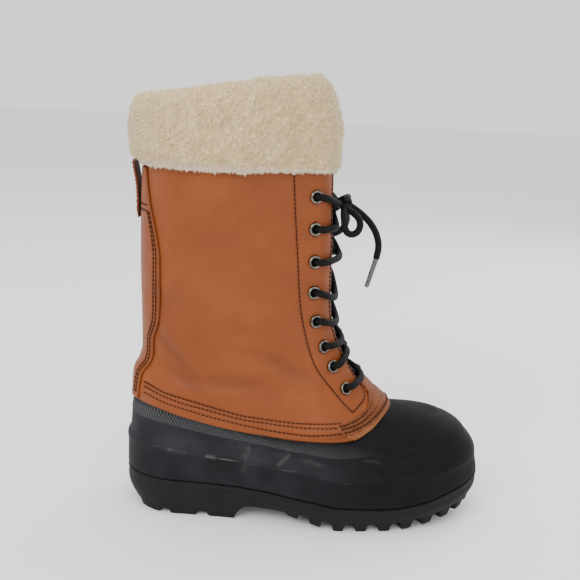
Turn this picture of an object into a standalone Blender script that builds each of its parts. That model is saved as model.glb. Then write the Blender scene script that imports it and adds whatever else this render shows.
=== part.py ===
"""Pac boot, right foot: lugged rubber bottom, tall leather shaft laced over a tongue, shearling cuff.

The boot stands on Z = 0 with its toe along +X and its outer (lateral) side along -Y. The origin
is on the floor under the middle of the heel's second pair of lugs, HEEL_SEAT ahead of its back.
Every piece is cut from one form. A point on it has a fraction u, from 0 at the back of the heel
to 1 at the front, on the lateral side (-u is the same place on the medial side), and a level v:
-1 at the feather line, 0 at the top of the foxing, 1 at the leather's lower edge, 8 at the collar.
"""
import math

import bpy
from mathutils import Vector

# Driving dimensions, in metres
SOLE_LENGTH = 0.2905
BALL_WIDTH = 0.118
HEEL_WIDTH = 0.086
TOE_BEND = 0.009
HEEL_ROUND = 0.044
HEEL_SEAT = 0.0505
TOE_ROUND = 0.074
SOLE_THICKNESS = 0.0315
LUG_DEPTH = 0.0062
FOXING_HEIGHT = 0.0245
FOXING_LEAN = 0.0035
EDGE_HEIGHT = 0.0890
EDGE_LENGTH = 0.2122
EDGE_WIDTH = 0.099
EDGE_DIP = 0.0165
COLLAR_HEIGHT = 0.2845
SHAFT_DEPTH = 0.1482
SHAFT_WIDTH = 0.112

# Walls, layers and clearances
LEATHER_WALL = 0.0022
RUBBER_WALL = 0.0030
TONGUE_WALL = 0.0020
BACKSTAY_WALL = 0.0016
BACKSTAY_GAP = 0.0009
TONGUE_GAP = 0.0014
INSOLE_THICKNESS = 0.006
CLEARANCE = 0.0004
LAYER_GAP = 0.0009
FOXING_PROUD = 0.0016
LINE_PROUD = 0.0012
RUBBER_LAP = 0.55
HEEL_FILL_REACH = 0.17
FLOOR_LEVEL = -0.86
BAND_GAP = 0.0010
INSOLE_EDGE = 0.2

# Lace, eyelets, loop and cuff
LACE_DIAMETER = 0.0054
LACE_SIDES = 8
KNOT_DIAMETER = 0.0092
EYELET_OUTER = 0.0110
EYELET_BORE = 0.0058
EYELET_HOLE = 0.0078
EYELET_FLANGE = 0.0009
EYELET_SEAT = 0.0009
EYELET_INSET = 0.0215
THROAT_HALF_GAP = 0.0165
TONGUE_OVERLAP = 0.016
LOOP_WIDTH = 0.020
LOOP_WALL = 0.0018
CUFF_FLAP = 0.0135
CUFF_INSIDE = 0.034
CUFF_RISE_BACK = 0.046
CUFF_RISE_FRONT = 0.067
LOCK_HEIGHT = 0.0016
AGLET_LENGTH = 0.024
AGLET_DIAMETER = 0.0042

# Sole outline: share of length; share of the ball's width (the rest is the heel's); half-widths
OUTLINE = {
    "along":   (0.00, 0.12, 0.25, 0.38, 0.50, 0.62, 0.74, 0.86, 1.00),
    "of_ball": (0.00, 0.00, 0.10, 0.35, 0.70, 1.00, 1.00, 1.00, 1.00),
    "lateral": (0.48, 0.50, 0.50, 0.50, 0.51, 0.515, 0.50, 0.47, 0.44),
    "medial":  (0.48, 0.50, 0.48, 0.44, 0.43, 0.455, 0.485, 0.48, 0.45),
}
# Sole from the side: share of length; tread base and top line, shares of SOLE_THICKNESS; lug depth
# and foxing height, shares of LUG_DEPTH and FOXING_HEIGHT
SIDE = {
    "along": (0.00, 0.06, 0.12, 0.310, 0.345, 0.42, 0.52, 0.60, 0.72, 0.82, 0.91, 1.00),
    "base":  (0.29, 0.15, 0.127, 0.127, 0.365, 0.365, 0.28, 0.197, 0.197, 0.273, 0.406, 0.565),
    "top":   (1.00, 1.01, 1.00, 0.963, 0.942, 0.886, 0.783, 0.703, 0.68, 0.771, 0.966, 1.183),
    "lug":   (0.60, 0.645, 0.645, 0.645, 0.30, 0.20, 0.80, 1.00, 1.00, 1.00, 1.00, 0.85),
    "foxing": (1.06, 1.04, 1.00, 1.00, 1.00, 0.97, 0.95, 0.92, 0.90, 0.88, 0.80, 0.62),
}
# Leather's lower edge: how far it dips below the heel, as a share of EDGE_DIP
DIP = {
    "along": (0.00, 0.08, 0.20, 0.35, 0.50, 0.70, 0.82, 0.90, 0.96, 1.00),
    "share": (0.00, 0.04, 0.30, 0.68, 0.88, 1.00, 0.97, 0.72, 0.30, 0.00),
}
# Loops of the upper: rise at back and front and dip, as shares; back of SOLE_LENGTH; blend to the
# shaft's size and its share of that; how far the loop tapers to the front, and its rounded nose
LOOPS = {
    "level":      (1.0, 2.0, 3.0, 4.0, 5.0, 6.0, 7.0, 8.0),
    "rise_back":  (0.000, 0.105, 0.165, 0.225, 0.356, 0.588, 0.794, 1.000),
    "rise_front": (0.012, 0.078, 0.145, 0.219, 0.356, 0.577, 0.794, 1.000),
    "dip":        (1.000, 0.700, 0.450, 0.250, 0.080, 0.000, 0.000, 0.000),
    "back":       (0.0076, 0.0119, 0.0282, 0.0364, 0.0344, 0.0293, 0.0282, 0.0313),
    "shaft":      (0.000, 0.300, 0.500, 0.700, 0.880, 1.000, 1.000, 1.000),
    "deep":       (1.000, 1.000, 0.984, 0.990, 0.993, 1.028, 1.017, 1.000),
    "wide":       (1.000, 0.900, 0.830, 0.810, 0.850, 0.920, 0.965, 1.000),
    "taper":      (0.000, 0.060, 0.160, 0.280, 0.400, 0.480, 0.490, 0.480),
    "nose":       (0.420, 0.360, 0.270, 0.185, 0.120, 0.090, 0.090, 0.090),
}
# Throat edge and backstay edge as fractions of the half loop, by level
THROAT = {
    "level": (1.0, 1.36, 1.7, 2.05, 2.7, 4.6, 5.4, 8.0),
    "edge":  (0.00, 0.12, 0.70, 1.10, 1.20, 1.15, 1.00, 1.00),
}
THROAT_FOOT = 0.855
BAND_FOOT = 0.780
TAB_LEVEL = 1.36
BACKSTAY = {
    "level": (1.0, 1.6, 2.4, 3.2, 4.2, 5.6, 7.0, 8.0),
    "half":  (0.090, 0.098, 0.118, 0.128, 0.155, 0.145, 0.105, 0.062),
}
BACKSTAY_TOP = 7.8
BACKSTAY_STEPS = 4
TONGUE_FOOT = 1.61
TONGUE_TOP = 7.9
TONGUE_STEPS = 4
# Eyelets: how far the row lies behind the throat's edge, in shares of EYELET_INSET, and its levels
EYELET_LINE = {
    "level": (2.7, 4.0, 5.0, 6.2, 8.0),
    "inset": (0.90, 0.94, 1.00, 1.09, 1.12),
}
EYELET_LEVELS = (7.42, 6.82, 6.22, 5.68, 5.18, 4.58, 3.92, 2.72)


def smooth(table, column, at):
    """Monotone cubic through a table's rows, so equal neighbours stay flat."""
    first = next(iter(table))
    xs, ys = table[first], table[column]
    if at <= xs[0]:
        return ys[0]
    if at >= xs[-1]:
        return ys[-1]
    spans = [b - a for a, b in zip(xs, xs[1:])]
    slopes = [(b - a) / h for a, b, h in zip(ys, ys[1:], spans)]

    def tangent(i):
        if i == 0 or i == len(xs) - 1:
            return slopes[0 if i == 0 else -1]
        before, after = slopes[i - 1], slopes[i]
        return 0.0 if before * after <= 0 else 2 * before * after / (before + after)

    i = max(k for k in range(len(spans)) if xs[k] <= at)
    t = (at - xs[i]) / spans[i]
    a, b = tangent(i) * spans[i], tangent(i + 1) * spans[i]
    return (ys[i] * (1 + 2 * t) * (1 - t) ** 2 + a * t * (1 - t) ** 2
            + ys[i + 1] * t * t * (3 - 2 * t) + b * t * t * (t - 1))


def mix(a, b, t):
    return a + (b - a) * t


# The form: closed loops, each sampled finely and then walked by fraction of its half length
SAMPLES = 90
CAP_POWER = 2.15
TAPER_START = 0.35
TAPER_POWER = 1.6


def bend(x):
    """How far the middle line leans to the medial side."""
    t = min(max((x / SOLE_LENGTH - 0.45) / 0.55, 0.0), 1.0)
    return TOE_BEND * t * t * (3 - 2 * t)


def cap(distance, size):
    """1 along the sides, falling round to 0 at an end of the loop."""
    t = 1.0 - min(max(distance / size, 0.0), 1.0)
    return (1.0 - t ** CAP_POWER) ** (1.0 / CAP_POWER)


def sole_half_width(x, side):
    along = x / SOLE_LENGTH
    width = mix(HEEL_WIDTH, BALL_WIDTH, smooth(OUTLINE, "of_ball", along))
    return width * smooth(OUTLINE, side, along)


def loop_half(level, side):
    """One side of the loop at a level, as points from the heel to the front."""
    sign = -1.0 if side == "lateral" else 1.0
    points = []
    for i in range(SAMPLES + 1):
        share = 0.5 - 0.5 * math.cos(math.pi * i / SAMPLES)
        if level <= 0:
            x = SOLE_LENGTH * share
            half = sole_half_width(x, side)
            half *= cap(x, HEEL_ROUND) * cap(SOLE_LENGTH - x, TOE_ROUND)
            x -= FOXING_LEAN * (1.0 + level) * share ** 2
            foxing = FOXING_HEIGHT * smooth(SIDE, "foxing", share)
            z = SOLE_THICKNESS * smooth(SIDE, "top", share) + foxing * (1.0 + level)
        else:
            to_shaft = smooth(LOOPS, "shaft", level)
            depth = mix(EDGE_LENGTH, SHAFT_DEPTH, to_shaft) * smooth(LOOPS, "deep", level)
            width = mix(EDGE_WIDTH, SHAFT_WIDTH, to_shaft) * smooth(LOOPS, "wide", level)
            x = SOLE_LENGTH * smooth(LOOPS, "back", level) + depth * share
            nose = smooth(LOOPS, "nose", level)
            taper = max((share - TAPER_START) / (1 - TAPER_START), 0.0) ** TAPER_POWER
            half = width / 2 * (1 - smooth(LOOPS, "taper", level) * taper)
            half *= cap(depth * share, depth / 2) * cap(depth * (1 - share), depth * nose)
            rise = mix(smooth(LOOPS, "rise_back", level), smooth(LOOPS, "rise_front", level), share)
            dip = EDGE_DIP * smooth(DIP, "share", share) * smooth(LOOPS, "dip", level)
            z = mix(EDGE_HEIGHT, COLLAR_HEIGHT, rise) - dip
        points.append(Vector((x - HEEL_SEAT, bend(x) + sign * half, z)))
    return points


LOOP_CACHE = {}


def walk(level, u):
    """The point at fraction u of the loop's lateral half, or of its medial half where u < 0."""
    side = "lateral" if u >= 0 else "medial"
    key = (round(level, 6), side)
    if key not in LOOP_CACHE:
        points = loop_half(level, side)
        lengths = [0.0]
        for a, b in zip(points, points[1:]):
            lengths.append(lengths[-1] + (b - a).length)
        LOOP_CACHE[key] = (points, lengths)
    points, lengths = LOOP_CACHE[key]
    target = min(abs(u), 1.0) * lengths[-1]
    i = 0
    while i < len(lengths) - 2 and lengths[i + 1] < target:
        i += 1
    t = (target - lengths[i]) / (lengths[i + 1] - lengths[i])
    return points[i].lerp(points[i + 1], t)


# Dome of the rubber: how far round the quarter curve each place turns, in degrees
TURN = {
    "u":     (0.00, 0.30, 0.55, 0.75, 0.88, 1.00),
    "angle": (22.0, 32.0, 48.0, 72.0, 86.0, 90.0),
}
DOME_POWER = 2.5


def form(u, v):
    """A point of the boot's outer form."""
    if v <= 0 or v >= 1:
        return walk(v, u)
    low, high = walk(0.0, u), walk(1.0, u)
    full = math.radians(smooth(TURN, "angle", abs(u)))
    angle = full * v
    p = 2.0 / DOME_POWER
    out = (1 - math.cos(angle) ** p) / (1 - max(math.cos(full), 0.0) ** p)
    up = math.sin(angle) ** p / math.sin(full) ** p
    return Vector((mix(low.x, high.x, out), mix(low.y, high.y, out), mix(low.z, high.z, up)))


STEP_U = 0.004
STEP_V = 0.02


def wrap(u):
    """Keep a fraction on the loop, crossing to the other side at the front."""
    if u > 1.0:
        return u - 2.0
    if u < -1.0:
        return u + 2.0
    return u


def outward(u, v):
    """The form's normal."""
    along = form(wrap(u + STEP_U), v) - form(wrap(u - STEP_U), v)
    up = form(u, v + STEP_V) - form(u, v - STEP_V)
    return along.cross(up).normalized()


def skin(u, v, offset):
    """A point at a distance outside (or, if negative, inside) the form."""
    return form(u, v) + outward(u, v) * offset


# Meshes
SHARP_ANGLE = 35.0


def finish(name, vertices, faces, colour, roughness, metallic=0.0):
    """Make one object with its own material."""
    mesh = bpy.data.meshes.new(name)
    mesh.from_pydata([tuple(v) for v in vertices], [], faces)
    mesh.validate()
    piece = bpy.data.objects.new(name, mesh)
    bpy.context.scene.collection.objects.link(piece)
    dress(piece, colour, roughness, metallic)
    mesh.shade_smooth()
    mesh.set_sharp_from_angle(angle=math.radians(SHARP_ANGLE))
    return piece


def dress(piece, colour, roughness, metallic=0.0):
    material = bpy.data.materials.new(piece.name)
    material.use_nodes = True
    shader = material.node_tree.nodes["Principled BSDF"]
    shader.inputs["Base Color"].default_value = (*colour, 1.0)
    shader.inputs["Roughness"].default_value = roughness
    shader.inputs["Metallic"].default_value = metallic
    piece.data.materials.append(material)


LEATHER = (0.355, 0.115, 0.034)
DARK_LEATHER = (0.250, 0.072, 0.022)
RUBBER = (0.026, 0.029, 0.034)
TREAD = (0.022, 0.022, 0.022)
FLEECE = (0.72, 0.62, 0.47)
FELT = (0.45, 0.42, 0.36)
LACE = (0.018, 0.020, 0.024)
NICKEL = (0.32, 0.30, 0.27)


def panel(name, rows, us, outer, inner, keep=lambda j, k: True, material=(LEATHER, 0.45)):
    """A sheet of the form with a wall: cells of a grid of columns us(t row) and level rows.

    us gives a row's fractions, outer and inner the offsets of its two faces. Cells that keep
    turns down are left out, and the wall closes round what stays.
    """
    grid = [us(v) for v in rows]
    columns = len(grid[0])
    vertices, faces, index = [], [], {}

    def corner(j, k, layer):
        key = (j, k, layer)
        if key not in index:
            index[key] = len(vertices)
            u, v = grid[k][j], rows[k]
            vertices.append(skin(u, v, outer(u, v) if layer else inner(u, v)))
        return index[key]

    kept = {(j, k) for j in range(columns - 1) for k in range(len(rows) - 1) if keep(j, k)}
    for j, k in sorted(kept):
        corners = [(j, k), (j + 1, k), (j + 1, k + 1), (j, k + 1)]
        faces.append([corner(a, b, 1) for a, b in corners])
        faces.append([corner(a, b, 0) for a, b in reversed(corners)])
        beside = [(j, k - 1), (j + 1, k), (j, k + 1), (j - 1, k)]
        for i, neighbour in enumerate(beside):
            if neighbour not in kept:
                a, b = corners[i], corners[(i + 1) % 4]
                faces.append([corner(*a, 1), corner(*a, 0), corner(*b, 0), corner(*b, 1)])
    return finish(name, vertices, faces, *material)


def spread(marks):
    """Fractions for a full loop from the ones of a half, medial first."""
    return [-m for m in reversed(marks[1:-1])] + list(marks)


# Fractions where the rubber's and the leather's columns lie, on each half loop
HALF_MARKS = (0.0, 0.045, 0.09, 0.135, 0.19, 0.25, 0.31, 0.37, 0.43, 0.49, 0.55, 0.61, 0.67,
              0.725, BAND_FOOT, 0.818, THROAT_FOOT, 0.885, 0.915, 0.943, 0.972, 1.0)


def ring_surface(loops):
    """Quads between closed loops of vertex numbers, each loop counted anticlockwise."""
    faces = []
    for low, high in zip(loops, loops[1:]):
        count = len(low)
        for j in range(count):
            n = (j + 1) % count
            faces.append([low[j], low[n], high[n], high[j]])
    return faces


def across(loop, half, up):
    """Strips from a loop's lateral points to its medial ones. loop[0] is the medial one before
    the heel, and half the number of columns on a side."""
    count = len(loop)
    heel = half - 1
    faces = []
    for i in range(half):
        a, b = (heel + i) % count, (heel + i + 1) % count
        c, d = (heel - i - 1) % count, (heel - i) % count
        face = []
        for corner in (a, b, c, d):
            if loop[corner] not in face:
                face.append(loop[corner])
        faces.append(face if up else face[::-1])
    return faces


def rubber_shell():
    """The moulded bottom: foxing, mould line, dome and the lap that goes under the leather."""
    tuck = -(LEATHER_WALL + LAYER_GAP)
    lap = 1.0 + RUBBER_LAP

    def heel_fill(u, v, offset):
        near = max(0.0, 1.0 - abs(u) / HEEL_FILL_REACH)
        return mix(offset, 0.0, near) if 0.0 < v < 1.0 and offset == tuck else offset

    outer_rows = ((-1.0, 0.0), (-0.75, FOXING_PROUD), (-0.16, FOXING_PROUD),
                  (-0.04, FOXING_PROUD + LINE_PROUD), (0.02, FOXING_PROUD), (0.06, tuck / 2),
                  (0.24, tuck), (0.45, tuck), (0.66, tuck), (0.86, tuck),
                  (1.0, tuck), (TAB_LEVEL, tuck), (lap, tuck))
    inner_rows = ((lap, tuck), (1.0, tuck), (0.76, tuck), (0.45, tuck), (0.15, tuck),
                  (-0.40, tuck), (FLOOR_LEVEL, tuck))
    marks = spread(HALF_MARKS)
    half = len(HALF_MARKS) - 1
    vertices, loops = [], []
    for v, offset in outer_rows:
        loops.append(list(range(len(vertices), len(vertices) + len(marks))))
        vertices += [skin(u, v, heel_fill(u, v, offset)) for u in marks]
    for v, offset in inner_rows:
        loops.append(list(range(len(vertices), len(vertices) + len(marks))))
        vertices += [skin(u, v, offset - RUBBER_WALL) for u in marks]
    faces = ring_surface(loops)
    faces += across(loops[-1], half, True)
    faces += across(loops[0], half, False)
    return finish("rubber_shell", vertices, faces, RUBBER, 0.55)


def flat_out(u, v):
    """The form's normal, laid level."""
    normal = outward(u, v)
    return Vector((normal.x, normal.y, 0.0)).normalized()


def insole():
    """Felt footbed on the shell's floor."""
    inset = LEATHER_WALL + LAYER_GAP + RUBBER_WALL + 2 * CLEARANCE
    lean = FOXING_LEAN * 2 * INSOLE_THICKNESS / FOXING_HEIGHT
    marks = spread(HALF_MARKS)
    half = len(HALF_MARKS) - 1
    edge = INSOLE_THICKNESS * INSOLE_EDGE
    rows = ((CLEARANCE, inset), (CLEARANCE + INSOLE_THICKNESS - edge, inset + lean),
            (CLEARANCE + INSOLE_THICKNESS, inset + lean + edge))
    vertices, loops = [], []
    for height, inward in rows:
        loops.append(list(range(len(vertices), len(vertices) + len(marks))))
        for u in marks:
            place = form(u, FLOOR_LEVEL) - flat_out(u, FLOOR_LEVEL) * inward
            vertices.append(place + Vector((0, 0, height)))
    faces = ring_surface(loops)
    faces += across(loops[-1], half, True)
    faces += across(loops[0], half, False)
    return finish("insole", vertices, faces, FELT, 0.95)


# Tread: where the lugs begin and end on the half outline, their count, and the shares of their
# pitch at the tip and the root
LUG_GROUPS = (
    (0.079, 0.345, 3, 0.63, 0.84),
    (0.437, 0.982, 10, 0.40, 0.64),
)
ARCH_COLUMNS = (0.362, 0.400)
LUG_IN = 0.0050
LUG_LENGTH = 0.0150
LUG_END = LUG_IN * 1.4 + LUG_LENGTH
BAR_HALF = 0.0130
BAR_OF_HALF = 0.8
SOLE_RIM = 0.0014
# Side of the sole: how far in from its top line, and how far down from the top line to the base
SOLE_EDGE = ((0.0, 0.0), (-SOLE_RIM, 0.10), (-SOLE_RIM, 0.45), (LUG_IN / 2, 0.90))


def lug_columns():
    """Fractions and whether the tread is down there, for every lug of a half outline."""
    columns = [(0.0, 0)]
    for first, last, count, tip_share, root_share in LUG_GROUPS:
        pitch = (last - first) / count
        for i in range(count):
            middle = first + pitch * (i + 0.5)
            tip, root = pitch * tip_share / 2, pitch * root_share / 2
            columns += [(middle - root, 0), (middle - tip, 1), (middle + tip, 1), (middle + root, 0)]
        columns += [(arch, 0) for arch in ARCH_COLUMNS if columns[-1][0] < arch]
    return columns + [(1.0, 0)]


def outsole():
    """Lugged tread: heel block, arch and toe spring, with lugs round the edge and bars between."""
    half_columns = lug_columns()
    half = len(half_columns) - 1
    columns = [(-u, down) for u, down in reversed(half_columns[1:-1])] + half_columns
    count = len(columns)

    def top(share):
        return SOLE_THICKNESS * smooth(SIDE, "top", share) - CLEARANCE

    def base(share):
        return SOLE_THICKNESS * smooth(SIDE, "base", share)

    def tip(share):
        return base(share) - LUG_DEPTH * smooth(SIDE, "lug", share)

    rows = [(inward, drop, False) for inward, drop in SOLE_EDGE]
    rows += [(LUG_IN, 1.0, True), (LUG_IN + LUG_LENGTH, 1.0, True), (LUG_END, 1.0, False)]
    vertices, loops = [], []
    for inward, drop, lugs in rows:
        loop = []
        for u, down in columns:
            place = form(u, -1.0) - flat_out(u, -1.0) * inward
            share = (place.x + HEEL_SEAT) / SOLE_LENGTH
            place.z = tip(share) if lugs and down else mix(top(share), base(share), drop)
            loop.append(len(vertices))
            vertices.append(place)
        loops.append(loop)
    faces = [face[::-1] for face in ring_surface(loops)]
    faces += across(loops[0], half, True)
    inner = loops[-1]
    bars = {}
    heel = half - 1
    for i in range(1, half):
        lateral, medial = vertices[inner[heel + i]], vertices[inner[heel - i]]
        share = (lateral.x + HEEL_SEAT) / SOLE_LENGTH
        down = half_columns[i][1]
        for side, end in (("lateral", lateral), ("medial", medial)):
            middle = (lateral + medial) / 2
            reach = min(BAR_HALF, (end - middle).length * BAR_OF_HALF)
            place = middle + (end - middle).normalized() * reach
            place.z = tip(share) if down else base(share)
            bars[i, side] = len(vertices)
            vertices.append(place)
    for i in range(1, half - 1):
        a, b = inner[heel + i], inner[heel + i + 1]
        c, d = bars[i, "lateral"], bars[i + 1, "lateral"]
        e, f = bars[i, "medial"], bars[i + 1, "medial"]
        g, h = inner[heel - i], inner[heel - i - 1]
        faces += [[a, c, d, b], [c, e, f, d], [e, g, h, f]]
    last = half - 1
    faces.append([inner[heel], inner[heel - 1], bars[1, "medial"], bars[1, "lateral"], inner[heel + 1]])
    faces.append([inner[(heel + half) % count], inner[heel + last], bars[last, "lateral"],
                  bars[last, "medial"], inner[heel - last]])
    return finish("outsole", vertices, faces, TREAD, 0.75)


# Leather
UPPER_ROWS = (1.0, TAB_LEVEL, 1.7, 2.05, 2.5, 3.0, 3.5, 4.1, 4.7, 5.4, 6.2, 7.1, 8.0)


def half_loop_length(v):
    """Length of the lateral half of the loop at a level."""
    walk(v, 0.5)
    return LOOP_CACHE[(round(v, 6), "lateral")][1][-1]


def throat_edge(v, back_off=0.0):
    """Fraction of the throat's edge at a level, or of a line set back from it."""
    shaft = 1.0 - THROAT_HALF_GAP / half_loop_length(v)
    return mix(THROAT_FOOT, shaft, smooth(THROAT, "edge", v)) - back_off / half_loop_length(v)


def eyelet_line(v):
    """Fraction of the eyelet row at a level."""
    return throat_edge(v, EYELET_INSET * smooth(EYELET_LINE, "inset", v))


def quarter_columns(v):
    marks = HALF_MARKS[:HALF_MARKS.index(THROAT_FOOT) + 1]
    scale = throat_edge(v) / THROAT_FOOT
    return [-m * scale for m in reversed(marks[1:])] + [m * scale for m in marks]


def leather_upper():
    """Both quarters as one hollow wall, open in front, and holed for the eyelets."""
    last = HALF_MARKS.index(THROAT_FOOT)
    notch = HALF_MARKS.index(BAND_FOOT)

    def keep(j, k):
        from_middle = max(j + 1 - last, last - j)
        return k > 0 or from_middle <= notch

    upper = panel("leather_upper", UPPER_ROWS, quarter_columns,
                  lambda u, v: 0.0, lambda u, v: -LEATHER_WALL, keep)
    punch = eyelet_punches()
    cut = upper.modifiers.new("eyelet holes", "BOOLEAN")
    cut.operation = "DIFFERENCE"
    cut.solver = "EXACT"
    cut.object = punch
    return upper


def eyelet_frame(side, level):
    """Where an eyelet sits: its place on the leather, the way out, and the way up."""
    u = side * eyelet_line(level)
    place, normal = form(u, level), outward(u, level)
    up = (form(u, level + STEP_V) - form(u, level - STEP_V)).normalized()
    up = (up - normal * up.dot(normal)).normalized()
    return place, normal, up


PUNCH_SIDES = 8
EYELET_SIDES = 8


def turned(frame, profile, sides):
    """Vertices and faces of a closed ring turned about an eyelet's axis."""
    place, normal, up = frame
    across_it = up.cross(normal)
    vertices = []
    for i in range(sides):
        angle = 2 * math.pi * (i + 0.5) / sides
        spoke = across_it * math.cos(angle) + up * math.sin(angle)
        vertices += [place + spoke * radius + normal * height for radius, height in profile]
    faces = []
    n = len(profile)
    for i in range(sides):
        for k in range(n):
            a, b = i * n + k, i * n + (k + 1) % n
            c, d = ((i + 1) % sides) * n + (k + 1) % n, ((i + 1) % sides) * n + k
            faces.append([a, b, c, d])
    return vertices, faces


def eyelet_punches():
    """The cutter for the eyelets' holes."""
    vertices, faces = [], []
    for side in (1, -1):
        for level in EYELET_LEVELS:
            place, normal, up = eyelet_frame(side, level)
            across_it = up.cross(normal)
            start = len(vertices)
            for height in (-3 * LEATHER_WALL, 2 * LEATHER_WALL):
                for i in range(PUNCH_SIDES):
                    angle = 2 * math.pi * (i + 0.5) / PUNCH_SIDES
                    spoke = across_it * math.cos(angle) + up * math.sin(angle)
                    vertices.append(place + spoke * EYELET_HOLE / 2 + normal * height)
            low = [start + i for i in range(PUNCH_SIDES)]
            high = [start + PUNCH_SIDES + i for i in range(PUNCH_SIDES)]
            for i in range(PUNCH_SIDES):
                n = (i + 1) % PUNCH_SIDES
                faces.append([low[i], low[n], high[n], high[i]])
            faces += [low[::-1], high]
    punch = finish("eyelet_punches", vertices, faces, NICKEL, 0.5)
    punch.hide_render = True
    punch.display_type = "WIRE"
    return punch


def eyelets():
    """A flanged ring in each hole."""
    rim, bore = EYELET_OUTER / 2, EYELET_BORE / 2
    barrel = EYELET_HOLE / 2 * math.cos(math.pi / PUNCH_SIDES) - CLEARANCE
    low, high = EYELET_SEAT, EYELET_SEAT + EYELET_FLANGE
    profile = ((bore, -LEATHER_WALL), (bore, low + EYELET_FLANGE / 2), ((bore + rim) / 2, high),
               (rim, low), (barrel, low), (barrel, -LEATHER_WALL))
    for name, side in (("lateral", 1), ("medial", -1)):
        for number, level in enumerate(EYELET_LEVELS, 1):
            vertices, faces = turned(eyelet_frame(side, level), profile, EYELET_SIDES)
            finish(f"eyelet_{name}_{number}", vertices, faces, NICKEL, 0.35, 0.9)


def vamp_band():
    """The U-shaped band round the foot of the throat, beside and under the quarters' tabs."""
    notch = HALF_MARKS.index(BAND_FOOT)
    tab = HALF_MARKS.index(THROAT_FOOT) - notch
    rows = (1.0, TAB_LEVEL - STEP_V, 1.0 + RUBBER_LAP)

    def columns(v):
        edge = throat_edge(v)
        gap = BAND_GAP / half_loop_length(v)
        half = []
        for i, mark in enumerate(HALF_MARKS[notch:]):
            if i <= tab:
                half.append(mark * edge / THROAT_FOOT + gap)
            else:
                half.append(mix(edge, 1.0, (mark - THROAT_FOOT) / (1.0 - THROAT_FOOT)))
        return half + [-m for m in reversed(half[:-1])]

    last = len(columns(1.0)) - 2

    def keep(j, k):
        return k == 0 or min(j, last - j) >= tab

    return panel("vamp_band", rows, columns, lambda u, v: 0.0, lambda u, v: -LEATHER_WALL,
                 keep, (DARK_LEATHER, 0.55))


def tongue():
    """The tongue fills the throat from behind."""
    rows = (TONGUE_FOOT,) + tuple(v for v in UPPER_ROWS if TONGUE_FOOT < v < TONGUE_TOP) + (TONGUE_TOP,)
    shares = [step / TONGUE_STEPS for step in range(TONGUE_STEPS + 1)]
    outer = -(LEATHER_WALL + TONGUE_GAP)

    def columns(v):
        edge = throat_edge(v, TONGUE_OVERLAP)
        near = [mix(edge, 1.0, s) for s in shares]
        return near + [-m for m in reversed(near[:-1])]

    return panel("tongue", rows, columns, lambda u, v: outer, lambda u, v: outer - TONGUE_WALL)


def backstay():
    """The strip that covers the back seam."""
    rows = UPPER_ROWS[:-1] + (BACKSTAY_TOP,)

    def columns(v):
        width = smooth(BACKSTAY, "half", v)
        return [width * step / BACKSTAY_STEPS for step in range(-BACKSTAY_STEPS, BACKSTAY_STEPS + 1)]

    low = BACKSTAY_GAP
    return panel("backstay", rows, columns, lambda u, v: low + BACKSTAY_WALL, lambda u, v: low)


# Pull loop: stations up its inner face, as shares of LOOP_WIDTH out from the leather and up, and
# its thickness there as a share of LOOP_WALL
LOOP_LEVEL = 7.86
LOOP_LINE = {
    "out":  (0.195, 0.195, 0.200, 0.250, 0.350, 0.380, 0.345, 0.255, 0.190, 0.170),
    "up":   (-2.17, -1.85, -1.345, -0.755, -0.235, -0.030, 0.070, 0.105, 0.060, -0.060),
    "wall": (0.35, 1.00, 1.00, 1.00, 1.00, 1.00, 1.00, 1.00, 1.00, 1.00),
}


def pull_loop():
    """A strap that leaves the backstay, turns over under the cuff and comes back to the collar."""
    collar = form(0.0, LOOP_LEVEL)
    path = []
    for out, up in zip(LOOP_LINE["out"], LOOP_LINE["up"]):
        path.append(Vector((collar.x - out * LOOP_WIDTH, collar.y, collar.z + up * LOOP_WIDTH)))
    vertices, faces = [], []
    for i, place in enumerate(path):
        ahead = (path[min(i + 1, len(path) - 1)] - path[max(i - 1, 0)]).normalized()
        outside = Vector((-ahead.z, 0.0, ahead.x))
        for side, layer in ((1, 1), (-1, 1), (-1, 0), (1, 0)):
            vertices.append(place + Vector((0, side * LOOP_WIDTH / 2, 0))
                            + outside * (LOOP_WALL * LOOP_LINE["wall"][i] * layer))
    for i in range(len(path) - 1):
        for k in range(4):
            n = (k + 1) % 4
            faces.append([4 * i + k, 4 * i + n, 4 * i + 4 + n, 4 * i + 4 + k])
    faces += [[3, 2, 1, 0], [4 * len(path) - 4 + k for k in range(4)]]
    return finish("pull_loop", vertices, faces, DARK_LEATHER, 0.5)


# Cuff: its section as shares, out from the leather by CUFF_FLAP and up by the rise at that place
CUFF_SECTION = {
    "out": (0.17, 0.45, 0.80, 0.97, 1.02, 1.00, 0.86, 0.52, 0.02, -0.50, -0.86, -0.98, -0.90,
            -0.70, -0.48, -0.46, 0.17),
    "up":  (-0.05, -0.07, -0.03, 0.10, 0.35, 0.62, 0.84, 0.97, 1.00, 0.96, 0.80, 0.45, -0.20,
            -0.50, -0.48, 0.06, 0.06),
}
CUFF_COLUMNS = 20
CUFF_BACK_LIFT = 0.0055
CUFF_BACK_REACH = 0.10
CUFF_FRONT_SHARE = 0.25
CUFF_FRONT_START = 0.55
CUFF_FRONT_POWER = 1.5
CUFF_LEAN = 0.016
CUFF_PLAIN_ROWS = (0, 14, 15, 16)
CUFF_TOP_ROWS = (7, 8, 9)


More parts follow.
